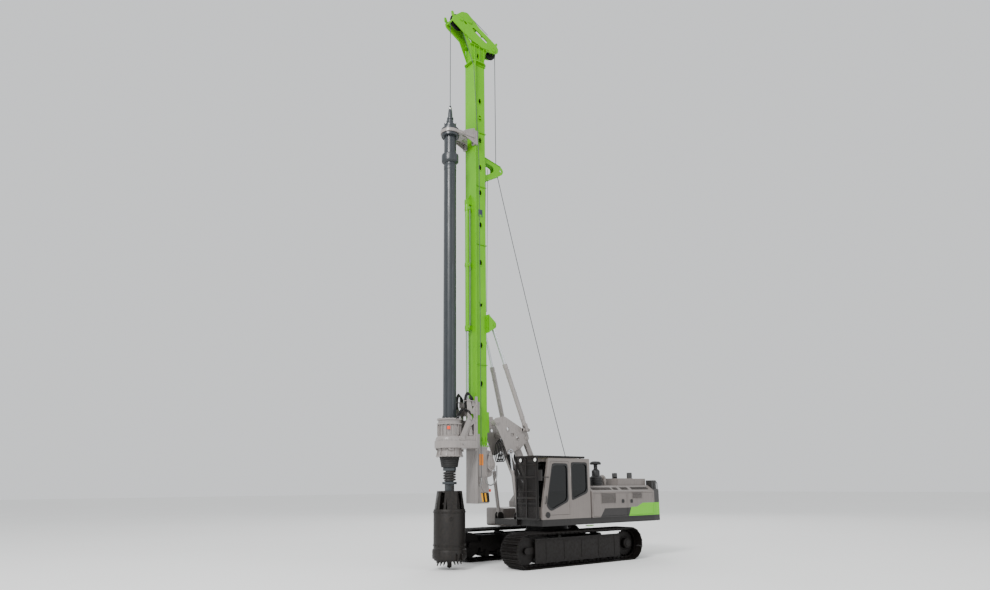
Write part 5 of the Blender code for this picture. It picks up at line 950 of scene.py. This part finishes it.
def ropes():
    """The hoist ropes.  The main rope hangs down the kelly bar's own axis from its sheave, and runs on
    inside the bar, which slides along it as it is lowered."""
    x, _, z, radius = SHEAVES["rear_sheave"]
    leave = np.pi * 0.62             # where the rope leaves the main sheave for the rear one
    joint = (x - radius, 0, 12.16)   # where the hoist rope on the mast meets the rope to the winch
    path = np.concatenate([[(KELLY_X, 0, 4.60), (KELLY_X, 0, SHEAVES["main_sheave"][2])],
                           round_sheave("main_sheave", 0.1, leave, 12, 0.0),
                           round_sheave("rear_sheave", leave, np.pi, 8, 0.0),
                           [(x - radius, 0, 12.35), joint]])
    piece("main_rope", [swept(path, 0.011, 8)], ROPE, "mast")
    back_rope = swept([(2.20, 0.05, 12.05), (2.25, 0.05, 9.0), (2.28, 0.05, 7.4)], 0.008, 6)
    piece("mast_back_ropes", both_sides(back_rope), ROPE, "mast")
    aux_x, aux_y, aux_z, aux_radius = SHEAVES["aux_sheave"]
    path = np.concatenate([[(x + 0.16, aux_y, z + 0.52), (aux_x - 0.10, aux_y, aux_z + aux_radius + 0.012)],
                           round_sheave("aux_sheave", np.pi / 2, 0, 8, 0.008),
                           [(aux_x + aux_radius + 0.008, aux_y, aux_z - 0.4), (2.95, 0.37, 15.2),
                            (2.80, 0.41, 12.0), (2.79, 0.41, 5.0), (2.70, 0.29, 2.45)]])
    piece("aux_rope", [swept(path, 0.009, 8)], ROPE, "mast")
    t = np.linspace(-0.5 * np.pi, 1.15 * np.pi, 16)
    hook = np.stack([2.70 + 0.045 * np.cos(t), 0.29 + 0 * t, 2.24 + 0.045 * np.sin(t)], -1)[::-1]
    neck = (2.70, 0.29, 2.36)
    piece("aux_hook", [round_bar((2.70, 0.29, 2.45), neck, 0.026, 16),
                       swept(np.concatenate([[neck], hook[4:]]), 0.014, 10)], BARE, "mast")
    start, end = np.array((-1.22, 0, 2.02)), np.array(joint)
    t = np.linspace(0, 1, 40)[:, None]
    sag = np.array((0.0, 0, -0.25)) * 4 * t * (1 - t)
    winch = piece("winch_rope", [swept(start + (end - start) * t + sag, 0.011, 8)], ROPE, None)
    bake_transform(winch)


mast()
lower_mast()
mast_head()
for sheave_name in SHEAVES:
    sheave(sheave_name)
feed()
kelly()
drive()
guide()
bucket()
ropes()


# ------------------------------------------------------------------ undercarriage
FRONT_X, REAR_X = 2.09, -1.956
GAUGE_HALF, SHOE_HALF = 1.30, 0.35
TRACK_R = 0.477             # hub to the tips of the shoes
SHOES = 63


def repeated(shape, places, turns):
    """One shape many times: its vertices turned by each matrix and moved to each place."""
    verts = np.einsum("nij,vj->nvi", turns, shape[0]) + np.asarray(places)[:, None]
    steps = len(shape[0]) * np.arange(len(places))[:, None, None]
    return verts.reshape(-1, 3), [(group[None] + steps).reshape(-1, group.shape[1]) for group in shape[1]]


def loop_places(radius, count):
    """Places and turns evenly along the track's loop: two half circles joined by two straight runs.

    A distance s along it lies on the bottom run, round the front hub, on the top run or round the rear."""
    run, bend = FRONT_X - REAR_X, math.pi * radius
    s = np.arange(count) * (2 * run + 2 * bend) / count
    marks = [0, run, run + bend, 2 * run + bend, 2 * run + 2 * bend]
    angle = np.interp(s, marks, [0, 0, np.pi, np.pi, 2 * np.pi])
    hub = np.interp(s, marks, [REAR_X, FRONT_X, FRONT_X, REAR_X, REAR_X])
    out = np.stack([np.sin(angle), 0 * s, -np.cos(angle)], -1)
    along = np.stack([np.cos(angle), 0 * s, np.sin(angle)], -1)
    places = np.stack([hub, 0 * s, 0 * s + TRACK_R], -1) + radius * out
    across = np.tile((0.0, 1.0, 0.0), (count, 1))
    return places, np.stack([along, across, np.cross(along, across)], -1)


def tracks():
    """Each track: shoes with three bars, bolted to two rows of chain links, round idler and sprocket."""
    half = 0.0868                # a shoe's half length, so that each meets the next
    shoe = [(-half, 0.0), (half, 0.0), (half, -0.014), (half - 0.012, -0.034), (half - 0.020, -0.034),
            (half - 0.030, -0.014), (0.012, -0.014), (0.005, -0.034), (-0.005, -0.034), (-0.012, -0.014),
            (0.030 - half, -0.014), (0.020 - half, -0.034), (0.012 - half, -0.034), (-half, -0.014)]
    link = slab(rounded([(-0.098, 0.012), (0.070, 0.012), (0.092, 0.030), (0.092, 0.066), (-0.060, 0.070),
                         (-0.098, 0.050)], 0.03, 2), 0.0, 0.028)
    unit = [slab(shoe, -SHOE_HALF, SHOE_HALF), *(moved(link, (0, y, -0.004)) for y in (-0.105, 0.077)),
            hollow_bar((-0.085, -0.125, 0.036), (-0.085, 0.125, 0.036), 0.022, 0.008, 10),
            studs([(x, y, 0.0) for x in (-0.04, 0.045) for y in (-0.10, 0.10)], (0, 0, -1), 0.014, 0.026)]
    places, turns = loop_places(TRACK_R - 0.034, SHOES)
    teeth = 22
    t = np.linspace(0, 2 * np.pi, teeth * 4, endpoint=False)
    radius = np.tile([0.372, 0.372, 0.338, 0.338], teeth)
    rim = np.stack([REAR_X + radius * np.cos(t), TRACK_R + radius * np.sin(t)], -1)
    guard_y = 1.5503
    for name, side in (("left", 1), ("right", -1)):
        y = side * GAUGE_HALF
        chain = [repeated(shape, places + (0, y, 0), turns) for shape in unit]
        piece("track_shoes_" + name, chain, TRACK, "undercarriage", ["track_" + name])
        hub = [(0.02, -0.21), (0.15, -0.21), (0.155, -0.20), (0.155, 0.15), (0.145, 0.165), (0.10, 0.17),
               (0.095, 0.19), (0.02, 0.195)]
        web_bolts = circle_of((REAR_X, y + side * 0.034, TRACK_R), 0.20, 18, "y")
        wheel = [pierced(rim, [ring_points((REAR_X, TRACK_R), 0.12, 32)], y - 0.032, y + 0.032, edge=0.004),
                 turned(hub, (REAR_X, y, TRACK_R), "y", 40),
                 studs(circle_of((REAR_X, y + 0.165, TRACK_R), 0.122, 14, "y"), (0, 1, 0), 0.011, 0.012),
                 studs(web_bolts, (0, side, 0), 0.012, 0.012)]
        piece("toothed_wheel_" + name, wheel, STEEL_WORN, "undercarriage", ["sprocket_" + name])
        screws = [(x, guard_y, z) for x in np.arange(-1.44, 1.8, 0.16) for z in (0.175, 0.755)]
        trim = [*(box((x, x + 0.02), (guard_y, guard_y + 0.008), (0.20, 0.74))
                  for x in (-1.30, -0.62, 0.06, 0.74, 1.42)), studs(screws, (0, 1, 0), 0.011, 0.009),
                box((-1.50, 1.81), (guard_y, guard_y + 0.010), (0.70, 0.722))]
        piece("track_guard_trim_" + name, trim if side > 0 else map(flipped, trim), STEEL_WORN,
              "undercarriage", edge=0.002)
    runs = [hose([(0.35, y, 0.93), (0.1, y * 2.2, 0.97), (-0.6, y * 4.0, 0.80), (-1.0, y * 5.2, 0.62)],
                 0.016) for y in (0.16, 0.20)]
    piece("undercarriage_hoses", both_sides(*runs), RUBBER, "undercarriage")
    ring = studs(circle_of((0, 0, 1.03), 0.59, 36), (0, 0, 1), 0.012, 0.014)
    piece("slewing_ring_bolts", [ring], BARE, "undercarriage")


# ------------------------------------------------------------------ house and deck
SIDE_Y = 1.54
SEAT = 0.0004               # how far trim stands off the face it lies on


def grille(name, x, z, body, side=1):
    """A mesh grille: a black back of painted shade, a folded frame and two sets of slanted wires over it.
    """
    (x0, x1), (z0, z1) = x, z
    wide, tall = x1 - x0, z1 - z0
    y = side * (SIDE_Y + SEAT)
    # The back is a flat black sheet on the door's face: painted shade for the dark space behind the mesh.
    piece(name + "_back", [box(x, sorted((y, y + side * 0.003)), z)], PLASTIC, body)
    wires = []
    for lean in (-1, 1):
        for k in np.arange(-tall, wide, 0.034):
            a, b = max(k, 0.0), min(k + tall, wide)
            low, high = (a - k, b - k) if lean > 0 else (tall - a + k, tall - b + k)
            if b - a > 0.02:
                wires.append(((x0 + a, z0 + low), (x0 + b, z0 + high)))
    ends = np.array(wires)
    middle, span = ends.mean(1), ends[:, 1] - ends[:, 0]
    turns = [turn_about("y", -math.degrees(math.atan2(rise, run))) for run, rise in span]
    centres = np.insert(middle, 1, y + side * 0.0045, axis=1)
    sizes = np.insert([[0.003, 0.006]] * len(span), 0, np.linalg.norm(span, axis=1), axis=1)
    x_mid, z_mid, y = (x0 + x1) / 2, (z0 + z1) / 2, y + side * 0.004
    piece(name, [bars(centres, sizes, turns),
                 bars([(x_mid, y, z0), (x_mid, y, z1)], (wide + 0.02, 0.008, 0.014)),
                 bars([(x0, y, z_mid), (x1, y, z_mid)], (0.014, 0.008, tall + 0.01))], GREY_PLAIN, body)


def around(x, z, half_x, half_z, radius):
    """A rounded rectangle about a place."""
    return rounded([(x - half_x, z - half_z), (x + half_x, z - half_z), (x + half_x, z + half_z),
                    (x - half_x, z + half_z)], radius)


def latch(x, z, body, side=1):
    """A flush slam latch: a grey rim, a black cup and its paddle."""
    low = SIDE_Y + SEAT
    cup = [pierced(around(x, z, 0.06, 0.055, 0.035), [], low, SIDE_Y + 0.006),
           slab(around(x, z, 0.03, 0.03, 0.02), SIDE_Y + 0.006, SIDE_Y + 0.011, edge=0.002)]
    rim = [pierced(around(x, z, 0.075, 0.07, 0.045), [around(x, z, 0.061, 0.056, 0.035)], low,
                   SIDE_Y + 0.008)]
    piece("latch_" + body, cup if side > 0 else map(flipped, cup), PLASTIC, body)
    piece("latch_" + body + "_rim", rim if side > 0 else map(flipped, rim), GREY_PLAIN, body, edge=0.001)


def house():
    """Grilles, latches, louvres drawn as dark bars of painted shade, lids, brackets and rails on the hood
    and counterweight.
    """
    grille("grille_front_left", (-1.44, -0.81), (1.68, 1.985), "hood_door_front_left")
    grille("grille_rear_left", (-2.63, -2.18), (1.80, 2.00), "hood_door_rear_left")
    grille("grille_rear_right", (-2.80, -2.20), (1.68, 1.985), "hood_door_rear_right", -1)
    latch(-1.753, 1.734, "hood_door_front_left")
    latch(-2.138, 1.726, "hood_door_rear_left")
    latch(-2.10, 1.600, "hood_door_rear_right", -1)
    lean = math.degrees(math.atan2(0.17, 0.24))      # the hood's slanted shoulder
    # The louvres are black-brown bars laid on the hood's shoulder: painted shade standing for the dark
    # slots, which are not cut.
    slots = [x for x in np.arange(-3.02, -0.50, 0.036)
             if not (-1.78 < x < -1.62 or -2.24 < x < -2.10 or -1.42 < x < -1.36)]
    for name, side in (("left", 1), ("right", -1)):
        turn = turn_about("x", -side * lean)
        centres = np.array([(x, side * 1.43, 2.110) for x in slots]) + turn @ (0, 0, 0.003)
        piece("louvre_painted_shade_" + name, [bars(centres, (0.013, 0.13, 0.006), turn)], SOOT, "upperstructure")
    piece("hood_seams", [bars([(-1.953, 0, 2.2005)], (0.006, 2.56, 0.004)),
                         box((-3.19, -3.0), (-1.2, 1.2), (2.2003, 2.206))], SOOT, "upperstructure")
    lid = rounded([(-2.95, -0.95), (-2.10, -0.95), (-2.10, 0.95), (-2.95, 0.95)], 0.06)
    hinges = [box((x - 0.03, x + 0.03), (0.97, 0.985), (2.30, 2.36)) for x in (-2.9, -2.5, -2.2)]
    piece("engine_lid", [slab(lid, 2.4103, 2.424, "xy", edge=0.003), *hinges], GREY_PLAIN, "upperstructure",
          edge=0.002)
    rear = hose([(-3.48, 1.46, 2.075), (-3.48, 1.46, 2.26), (-3.40, 1.46, 2.32), (-3.32, 1.46, 2.26),
                 (-3.32, 1.46, 2.075)], 0.013, 10, 6)
    right = hose([(-0.55, -1.22, 2.20), (-0.55, -1.22, 2.46), (-0.66, -1.22, 2.56), (-1.70, -1.22, 2.56),
                  (-1.80, -1.22, 2.46), (-1.80, -1.22, 2.20)], 0.015, 10, 6)
    piece("hand_rails", [*both_sides(rear), right], SOOT, "upperstructure")
    lamp = turned([(0.030, 0), (0.045, 0.012), (0.045, 0.030)], (-3.6308, 1.2, 1.62), "x", 24)
    red = sprayed("red_lamp_lens", "#B01818", 0.2, 0.05)
    piece("rear_lamps", both_sides(lamp), red, "upperstructure")
    tread = [box((x, x + 0.16), (-1.45, -0.62), (1.2703, 1.276)) for x in (0.0, 0.20, 0.40)]
    piece("deck_tread", tread, SOOT, "upperstructure", edge=0.002)
    bracket = box((-0.50, -0.24), (1.42, 1.50), (1.045, 1.0695))
    piece("lower_lime_bracket", [bracket], LIME, "upperstructure", edge=0.004)


def cab():
    """Door and window seals, handle, catch, vent, guard bars, hatch trim and lamps."""
    y = 1.5204
    door = [(0.52, 1.78), (1.19, 1.52), (1.35, 1.66), (1.11, 2.825), (0.52, 2.825)]
    window = [(-0.27, 2.02), (0.37, 1.80), (0.37, 2.865), (-0.27, 2.865)]
    for name, body, pane in (("door_glass_border", "cab_door", door),
                             ("side_glass_border", "upperstructure", window)):
        out = np.array(pane) - np.mean(pane, 0)
        step = out / np.linalg.norm(out, axis=1, keepdims=True)
        inner, outer = rounded(pane - 0.045 * step, 0.12, 5), rounded(pane + 0.020 * step, 0.10, 5)
        piece(name, [pierced(outer, [inner], y, y + 0.005)], PLASTIC, body, edge=0.001)
    handle = hose([(1.40, y, 1.72), (1.40, y + 0.032, 1.74), (1.375, y + 0.032, 1.90), (1.365, y, 1.92)],
                  0.010, 10, 6)
    piece("door_handle", [handle], PLASTIC, "cab_door")
    catch = slab(around(0.406, 2.59, 0.018, 0.11, 0.012), y, y + 0.005)
    piece("pillar_catch", [catch], PALE, "upperstructure", edge=0.001)
    vent = [turned([(0.065, 0), (0.085, 0.001), (0.085, 0.008), (0.060, 0.010)], (1.31, y, 1.41), "y", 32),
            bars([(1.31, y + 0.012, z) for z in (1.38, 1.40, 1.42, 1.44)], (0.10, 0.004, 0.008))]
    piece("cab_vent", vent, PLASTIC, "upperstructure")
    x, middle = 1.635, 1.03          # the guard's plane and the cab's middle
    guard = [bars([(x, at, 2.145) for at in np.arange(0.56, 1.51, 0.027)], (0.010, 0.011, 1.69)),
             bars([(x + 0.006, middle, z) for z in (1.72, 2.06, 2.80)], (0.012, 0.98, 0.022)),
             bars([(x, middle, z) for z in np.arange(1.33, 2.97, 0.060)], (0.006, 0.96, 0.007))]
    piece("guard_bars", guard, SOOT, "upperstructure")
    roof = bars([(at, middle, 3.03) for at in np.arange(-0.20, 1.60, 0.085)], (0.016, 0.98, 0.020))
    piece("roof_guard_bars", [roof], SOOT, "upperstructure")
    olive = sprayed("olive_hatch_paint", "#A8A040", 0.5)
    piece("roof_hatch_trim", [box((0.05, 1.20), (0.62, 1.44), (2.9853, 2.993))], olive, "upperstructure",
          edge=0.003)
    places = [(1.662, at, 2.93) for at in (0.81, 1.44)]
    shell = [(0.030, -0.045), (0.055, -0.020), (0.058, 0.018), (0.052, 0.020)]
    lens = [(0.050, 0.019), (0.048, 0.026), (0.020, 0.031)]
    piece("lamp_shells", [turned(shell, place, "x", 28) for place in places], PLASTIC, "upperstructure")
    piece("lamp_lenses", [turned(lens, place, "x", 28) for place in places], LENS, "upperstructure")


def air_cleaner():
    """The engine's air cleaner: a ribbed can, a stepped neck, a mushroom cap, and its grey bent duct."""
    x, y, z = -1.15, 1.02, 2.2003
    can = [(0.150, 0.000), (0.185, 0.010), (0.190, 0.020)]
    for low in (0.03, 0.08, 0.13, 0.18):
        can += [(0.190, low), (0.182, low + 0.01), (0.182, low + 0.03), (0.190, low + 0.04)]
    can += [(0.185, 0.25), (0.150, 0.285), (0.125, 0.300), (0.125, 0.440), (0.118, 0.460), (0.080, 0.490),
            (0.060, 0.510), (0.060, 0.630), (0.080, 0.640), (0.160, 0.650), (0.172, 0.662), (0.172, 0.685),
            (0.155, 0.712), (0.110, 0.738), (0.040, 0.745)]
    turns = np.stack([turn_about("z", angle) for angle in range(0, 360, 15)])
    vanes = bars(turns @ (0.115, 0, 0) + (x, y, z + 0.645), (0.10, 0.006, 0.016), turns)
    piece("air_cleaner_can", [turned(can, (x, y, z)), vanes], PLASTIC, "upperstructure", ["air_cleaner"],
          edge=0.001)
    at = x - 0.36
    duct = hose([(x - 0.10, y, z + 0.20), (x - 0.24, y, z + 0.27), (x - 0.34, y, z + 0.24),
                 (at, y, z + 0.12), (at, y, z)], 0.062, 24, 6)
    clips = [hollow_bar((at, y, z + low), (at, y, z + low + 0.02), 0.068, 0.060, 24)
             for low in (0.02, 0.10)]
    piece("air_duct", [duct, *clips], GREY_PLAIN, "upperstructure")


def winches():
    """Wound rope on both drums: a turned section whose edge ripples once for each turn of the rope."""
    wraps, half = 15, 0.33
    t = np.linspace(0, 1, wraps * 6 + 1)
    for name, x, z, layer in (("main_drum", -1.27, 1.80, 0.232), ("aux_drum", -0.62, 1.72, 0.222)):
        edge = np.stack([layer + 0.010 * np.abs(np.sin(np.pi * wraps * t)), half * (2 * t - 1)], -1)
        section = np.concatenate([[(0.1915, -half)], edge, [(0.1915, half)]])
        piece(name + "_rope", [turned(section, (x, 0, z), "y", 40, hollow=True)], ROPE, name, angle=70)


# ------------------------------------------------------------------ boom, triangle and cylinders
def along(start, end, *shares):
    """The places at shares of the way from start to end."""
    return [np.asarray(start, float) * (1 - share) + np.asarray(end, float) * share for share in shares]


def triangle():
    """Two side plates with two round holes and a half-moon between, pin bosses, tubes and cardan ears."""
    corners = [(2.26, 3.98), (2.30, 4.08), (2.24, 4.16), (1.95, 4.22), (1.88, 4.21), (1.24, 3.90),
               (1.10, 3.88), (1.00, 3.70), (1.00, 3.56), (1.08, 3.52), (1.36, 3.25), (1.46, 3.26),
               (1.68, 3.12), (1.80, 3.12), (1.84, 3.22), (1.96, 3.50)]
    t = np.radians(np.linspace(150, 390, 14))
    half_moon = np.stack([1.62 + 0.075 * np.cos(t), 3.70 + 0.075 * np.sin(t)], -1)
    eyes = [(1.44, 3.60), (1.80, 3.86)]
    holes = [half_moon, *(ring_points(eye, 0.050, 24) for eye in eyes)]
    half = [pierced(rounded(corners, 0.03, 3), holes, 0.357, 0.393, edge=0.003),
            *(hollow_bar((x, 0.393, z), (x, 0.405, z), 0.068, 0.050, 28) for x, z in eyes)]
    pins = [(1.40, 3.35), (1.08, 3.62), (2.19, 4.04)]
    for x, z in pins:
        half += [round_bar((x, 0.390, z), (x, 0.414, z), 0.075, 28),
                 round_bar((x, 0.41, z), (x, 0.432, z), 0.04, 20),
                 studs(circle_of((x, 0.414, z), 0.058, 4, "y"), (0, 1, 0), 0.009, 0.009)]
    foot_x, foot_z = CYL_FOOT
    ear = ring_points((CYL_FOOT_Y, foot_z), 0.055, 20)
    for x in (foot_x - 0.099, foot_x + 0.099):
        half += [slab(ear, x - 0.0125, x + 0.0125, "yz"),
                 box((x - 0.0125, x + 0.0125), (0.375, 0.50), (foot_z - 0.05, foot_z + 0.05))]
    half += [round_bar((1.754, 0.375, 3.20), (1.754, 0.492, 3.20), 0.030, 24),
             round_bar((foot_x - 0.104, CYL_FOOT_Y, foot_z), (foot_x + 0.104, CYL_FOOT_Y, foot_z), 0.022,
                       20)]
    shapes = [*both_sides(*half), round_bar((1.62, -0.357, 3.72), (1.62, 0.357, 3.72), 0.10, 32),
              *(round_bar((x, -0.393, z), (x, 0.393, z), 0.04, 24) for x, z in pins)]
    piece("mast_triangle", shapes, PALE, "triangle", ["triangle_frame"], edge=0.002)


def glands(foot, head, rings):
    """Rings round a cylinder: each from one share of its length to another, with two radii and sides."""
    return [hollow_bar(*along(foot, head, low, high), *sizes) for low, high, *sizes in rings]


def cylinder_trim():
    """Gland heads, end caps, ports and steel pipes on the luffing and mast cylinders."""
    for name, side in (("left", 1), ("right", -1)):
        foot, head = np.insert(CYL_FOOT, 1, side * CYL_FOOT_Y), np.insert(CYL_HEAD, 1, side * CYL_HEAD_Y)
        rings = [(0.585, 0.628, 0.074, 0.0462, 32), (0.10, 0.115, 0.074, 0.064, 32),
                 (0.50, 0.512, 0.073, 0.064, 32)]
        piece("mast_gland_" + name, glands(foot, head, rings), PALE, "mast_barrel_" + name)
        off = np.array((-0.082, 0, 0.02))
        pipe = [swept(off + along(foot, head, 0.12, 0.3, 0.5, 0.57), 0.010, 8),
                bars(off * 0.85 + along(foot, head, 0.12, 0.35, 0.57), (0.04, 0.04, 0.04))]
        piece("mast_cylinder_pipe_" + name, pipe, BARE, "mast_barrel_" + name)
        foot, head = (1.50, side * 0.445, 1.36), (1.754, side * 0.445, 3.20)
        rings = [(0.665, 0.705, 0.058, 0.0332, 28), (0.06, 0.09, 0.058, 0.045, 28)]
        piece("luff_gland_" + name, glands(foot, head, rings), PALE, "luff_barrel_" + name)
        pipe = swept(along(foot, head, 0.12, 0.4, 0.67) + np.array((0.064, 0, 0)), 0.008, 8)
        piece("luff_pipe_" + name, [pipe], BARE, "luff_barrel_" + name)


def boom_trim():
    """Hose bundles along the boom arms and behind the mast, and the arms' pin covers."""
    runs = []
    for k in range(4):
        y, rise = 0.10 + 0.035 * k, 0.02 * k
        runs.append(hose([(0.50, y, 1.42), (0.66, y, 1.70), (0.98, y, 2.34 + rise), (1.24, y, 2.82),
                          (1.34, y, 3.02 + rise), (1.30, y, 3.20)], 0.015))
    piece("boom_hoses", both_sides(*runs), RUBBER, "boom")
    cover = [(0.060, 0), (0.068, 0.002), (0.068, 0.010), (0.05, 0.013)]
    covers = [turned(cover, (x, y, z), "y", 24)
              for x, z in ((0.55, 1.60), (1.40, 3.35)) for y in (-0.335, 0.322)]
    piece("boom_pin_covers", covers, PALE, "boom")
    loops = [hose([(1.66, y, 3.60), (1.80, y, 3.46), (1.86, y, 3.22), (1.85, y, 3.04), (1.80, y, 2.92),
                   (1.74, y, 2.98), (1.68, y, 3.20), (1.64, y, 3.40)], 0.015)
             for y in (-0.16, -0.08, 0.0, 0.08, 0.16)]
    piece("triangle_hose_loops", loops, RUBBER, "triangle")


# ------------------------------------------------------------------ finish of the frame's own parts
def finished_parts():
    """Every part of the frame that still shows: seams merged, round sides smooth, edges rounded."""
    tree = bpy.data.node_groups.new("smooth_sides", "GeometryNodeTree")
    for way in ("INPUT", "OUTPUT"):
        tree.interface.new_socket("Geometry", in_out=way, socket_type="NodeSocketGeometry")
    source = add(tree, "NodeGroupInput").outputs[0]
    merged = add(tree, "GeometryNodeMergeByDistance", {"Geometry": source, "Distance": 0.00005}).outputs[0]
    smooth = add(tree, "GeometryNodeSetShadeSmooth", {"Geometry": merged, "Shade Smooth": True}).outputs[0]
    angle = add(tree, "GeometryNodeInputMeshEdgeAngle").outputs["Unsigned Angle"]
    sharp = add(tree, "FunctionNodeCompare", {"A": angle, "B": math.radians(30)}, operation="GREATER_THAN")
    edges = add(tree, "GeometryNodeSetShadeSmooth", {"Geometry": smooth, "Selection": sharp.outputs[0],
                                                     "Shade Smooth": False}, domain="EDGE").outputs[0]
    add(tree, "NodeGroupOutput", {0: edges})
    widths = {"counterweight": 0.03, "cab_shell": 0.012, "hood_shell": 0.012, "fuel_tank": 0.02,
              "tool_box": 0.02, "seat": 0.03, "console": 0.01}
    for name, node in frame["nodes"].items():
        if not node.hide_render:
            node.modifiers.new("smooth_sides", "NODES").node_group = tree
            soften(node, widths.get(name, 0.004))
    for name in ("tool_box", "fuel_tank"):
        frame["nodes"][name].data.materials[0] = GREY_PLAIN


tracks()
house()
cab()
air_cleaner()
winches()
triangle()
cylinder_trim()
boom_trim()
finished_parts()


# ------------------------------------------------------------------ floor, light and camera
def studio():
    """A pale floor and wall-less surround, a broad key light on the mast's side, a softer fill and a rim
    light from behind."""
    floor_paint, tree, shader, where = surface("pale_floor", Roughness=0.85)
    tone = add(tree, NOISE, {"Scale": 0.15, "Detail": 2.0, "Vector": where}).outputs[0]    # 7 m clouds
    shade = add(tree, MIX, {0: tone, 6: "#F2F2F0", 7: "#F7F7F6"}, data_type="RGBA").outputs[2]
    tree.links.new(shade, shader.inputs["Base Color"])
    mesh = bpy.data.meshes.new("floor")
    reach = 160.0
    mesh.from_pydata([(-reach, -reach, 0), (reach, -reach, 0), (reach, reach, 0), (-reach, reach, 0)], [],
                     [(0, 1, 2, 3)])
    mesh.materials.append(floor_paint)
    floor = bpy.data.objects.new("floor", mesh)
    bpy.context.scene.collection.objects.link(floor)
    world = bpy.data.worlds.new("surround")
    world.use_nodes = True
    background = world.node_tree.nodes["Background"]
    background.inputs["Color"].default_value = linear("#F4F6F8")
    background.inputs["Strength"].default_value = 1.0
    bpy.context.scene.world = world
    for name, at, aim, size, power in (("key", (26, 12, 24), (0, 0, 6), 9, 9000),
                                       ("fill", (-6, 26, 14), (0, 0, 5), 16, 1200),
                                       ("rim", (-20, -18, 22), (0, 0, 8), 14, 2500)):
        lamp = bpy.data.lights.new(name, "AREA")
        lamp.energy = power
        lamp.size = size
        thing = bpy.data.objects.new(name, lamp)
        thing.location = at
        thing.rotation_euler = (Vector(aim) - Vector(at)).to_track_quat("-Z", "Y").to_euler()
        bpy.context.scene.collection.objects.link(thing)


def camera():
    """A standing eye 18 m off the mast, looking up a little, from the cab's side and ahead."""
    eye = Vector((14.206, 16.112, 2.238))
    ahead = Vector((-0.59155, -0.78501, 0.18390))
    right = Vector((-0.79947, 0.60066, -0.00762))
    up = right.cross(ahead)
    lens = bpy.data.cameras.new("camera")
    lens.sensor_width = 36.0
    lens.lens = 24.913
    lens.shift_x = 0.00942
    lens.shift_y = 0.06271
    lens.clip_end = 500.0
    thing = bpy.data.objects.new("camera", lens)
    turn = Matrix((right, up, -ahead)).transposed().to_4x4()
    thing.matrix_world = Matrix.Translation(eye) @ turn
    bpy.context.scene.collection.objects.link(thing)
    bpy.context.scene.camera = thing


studio()
camera()
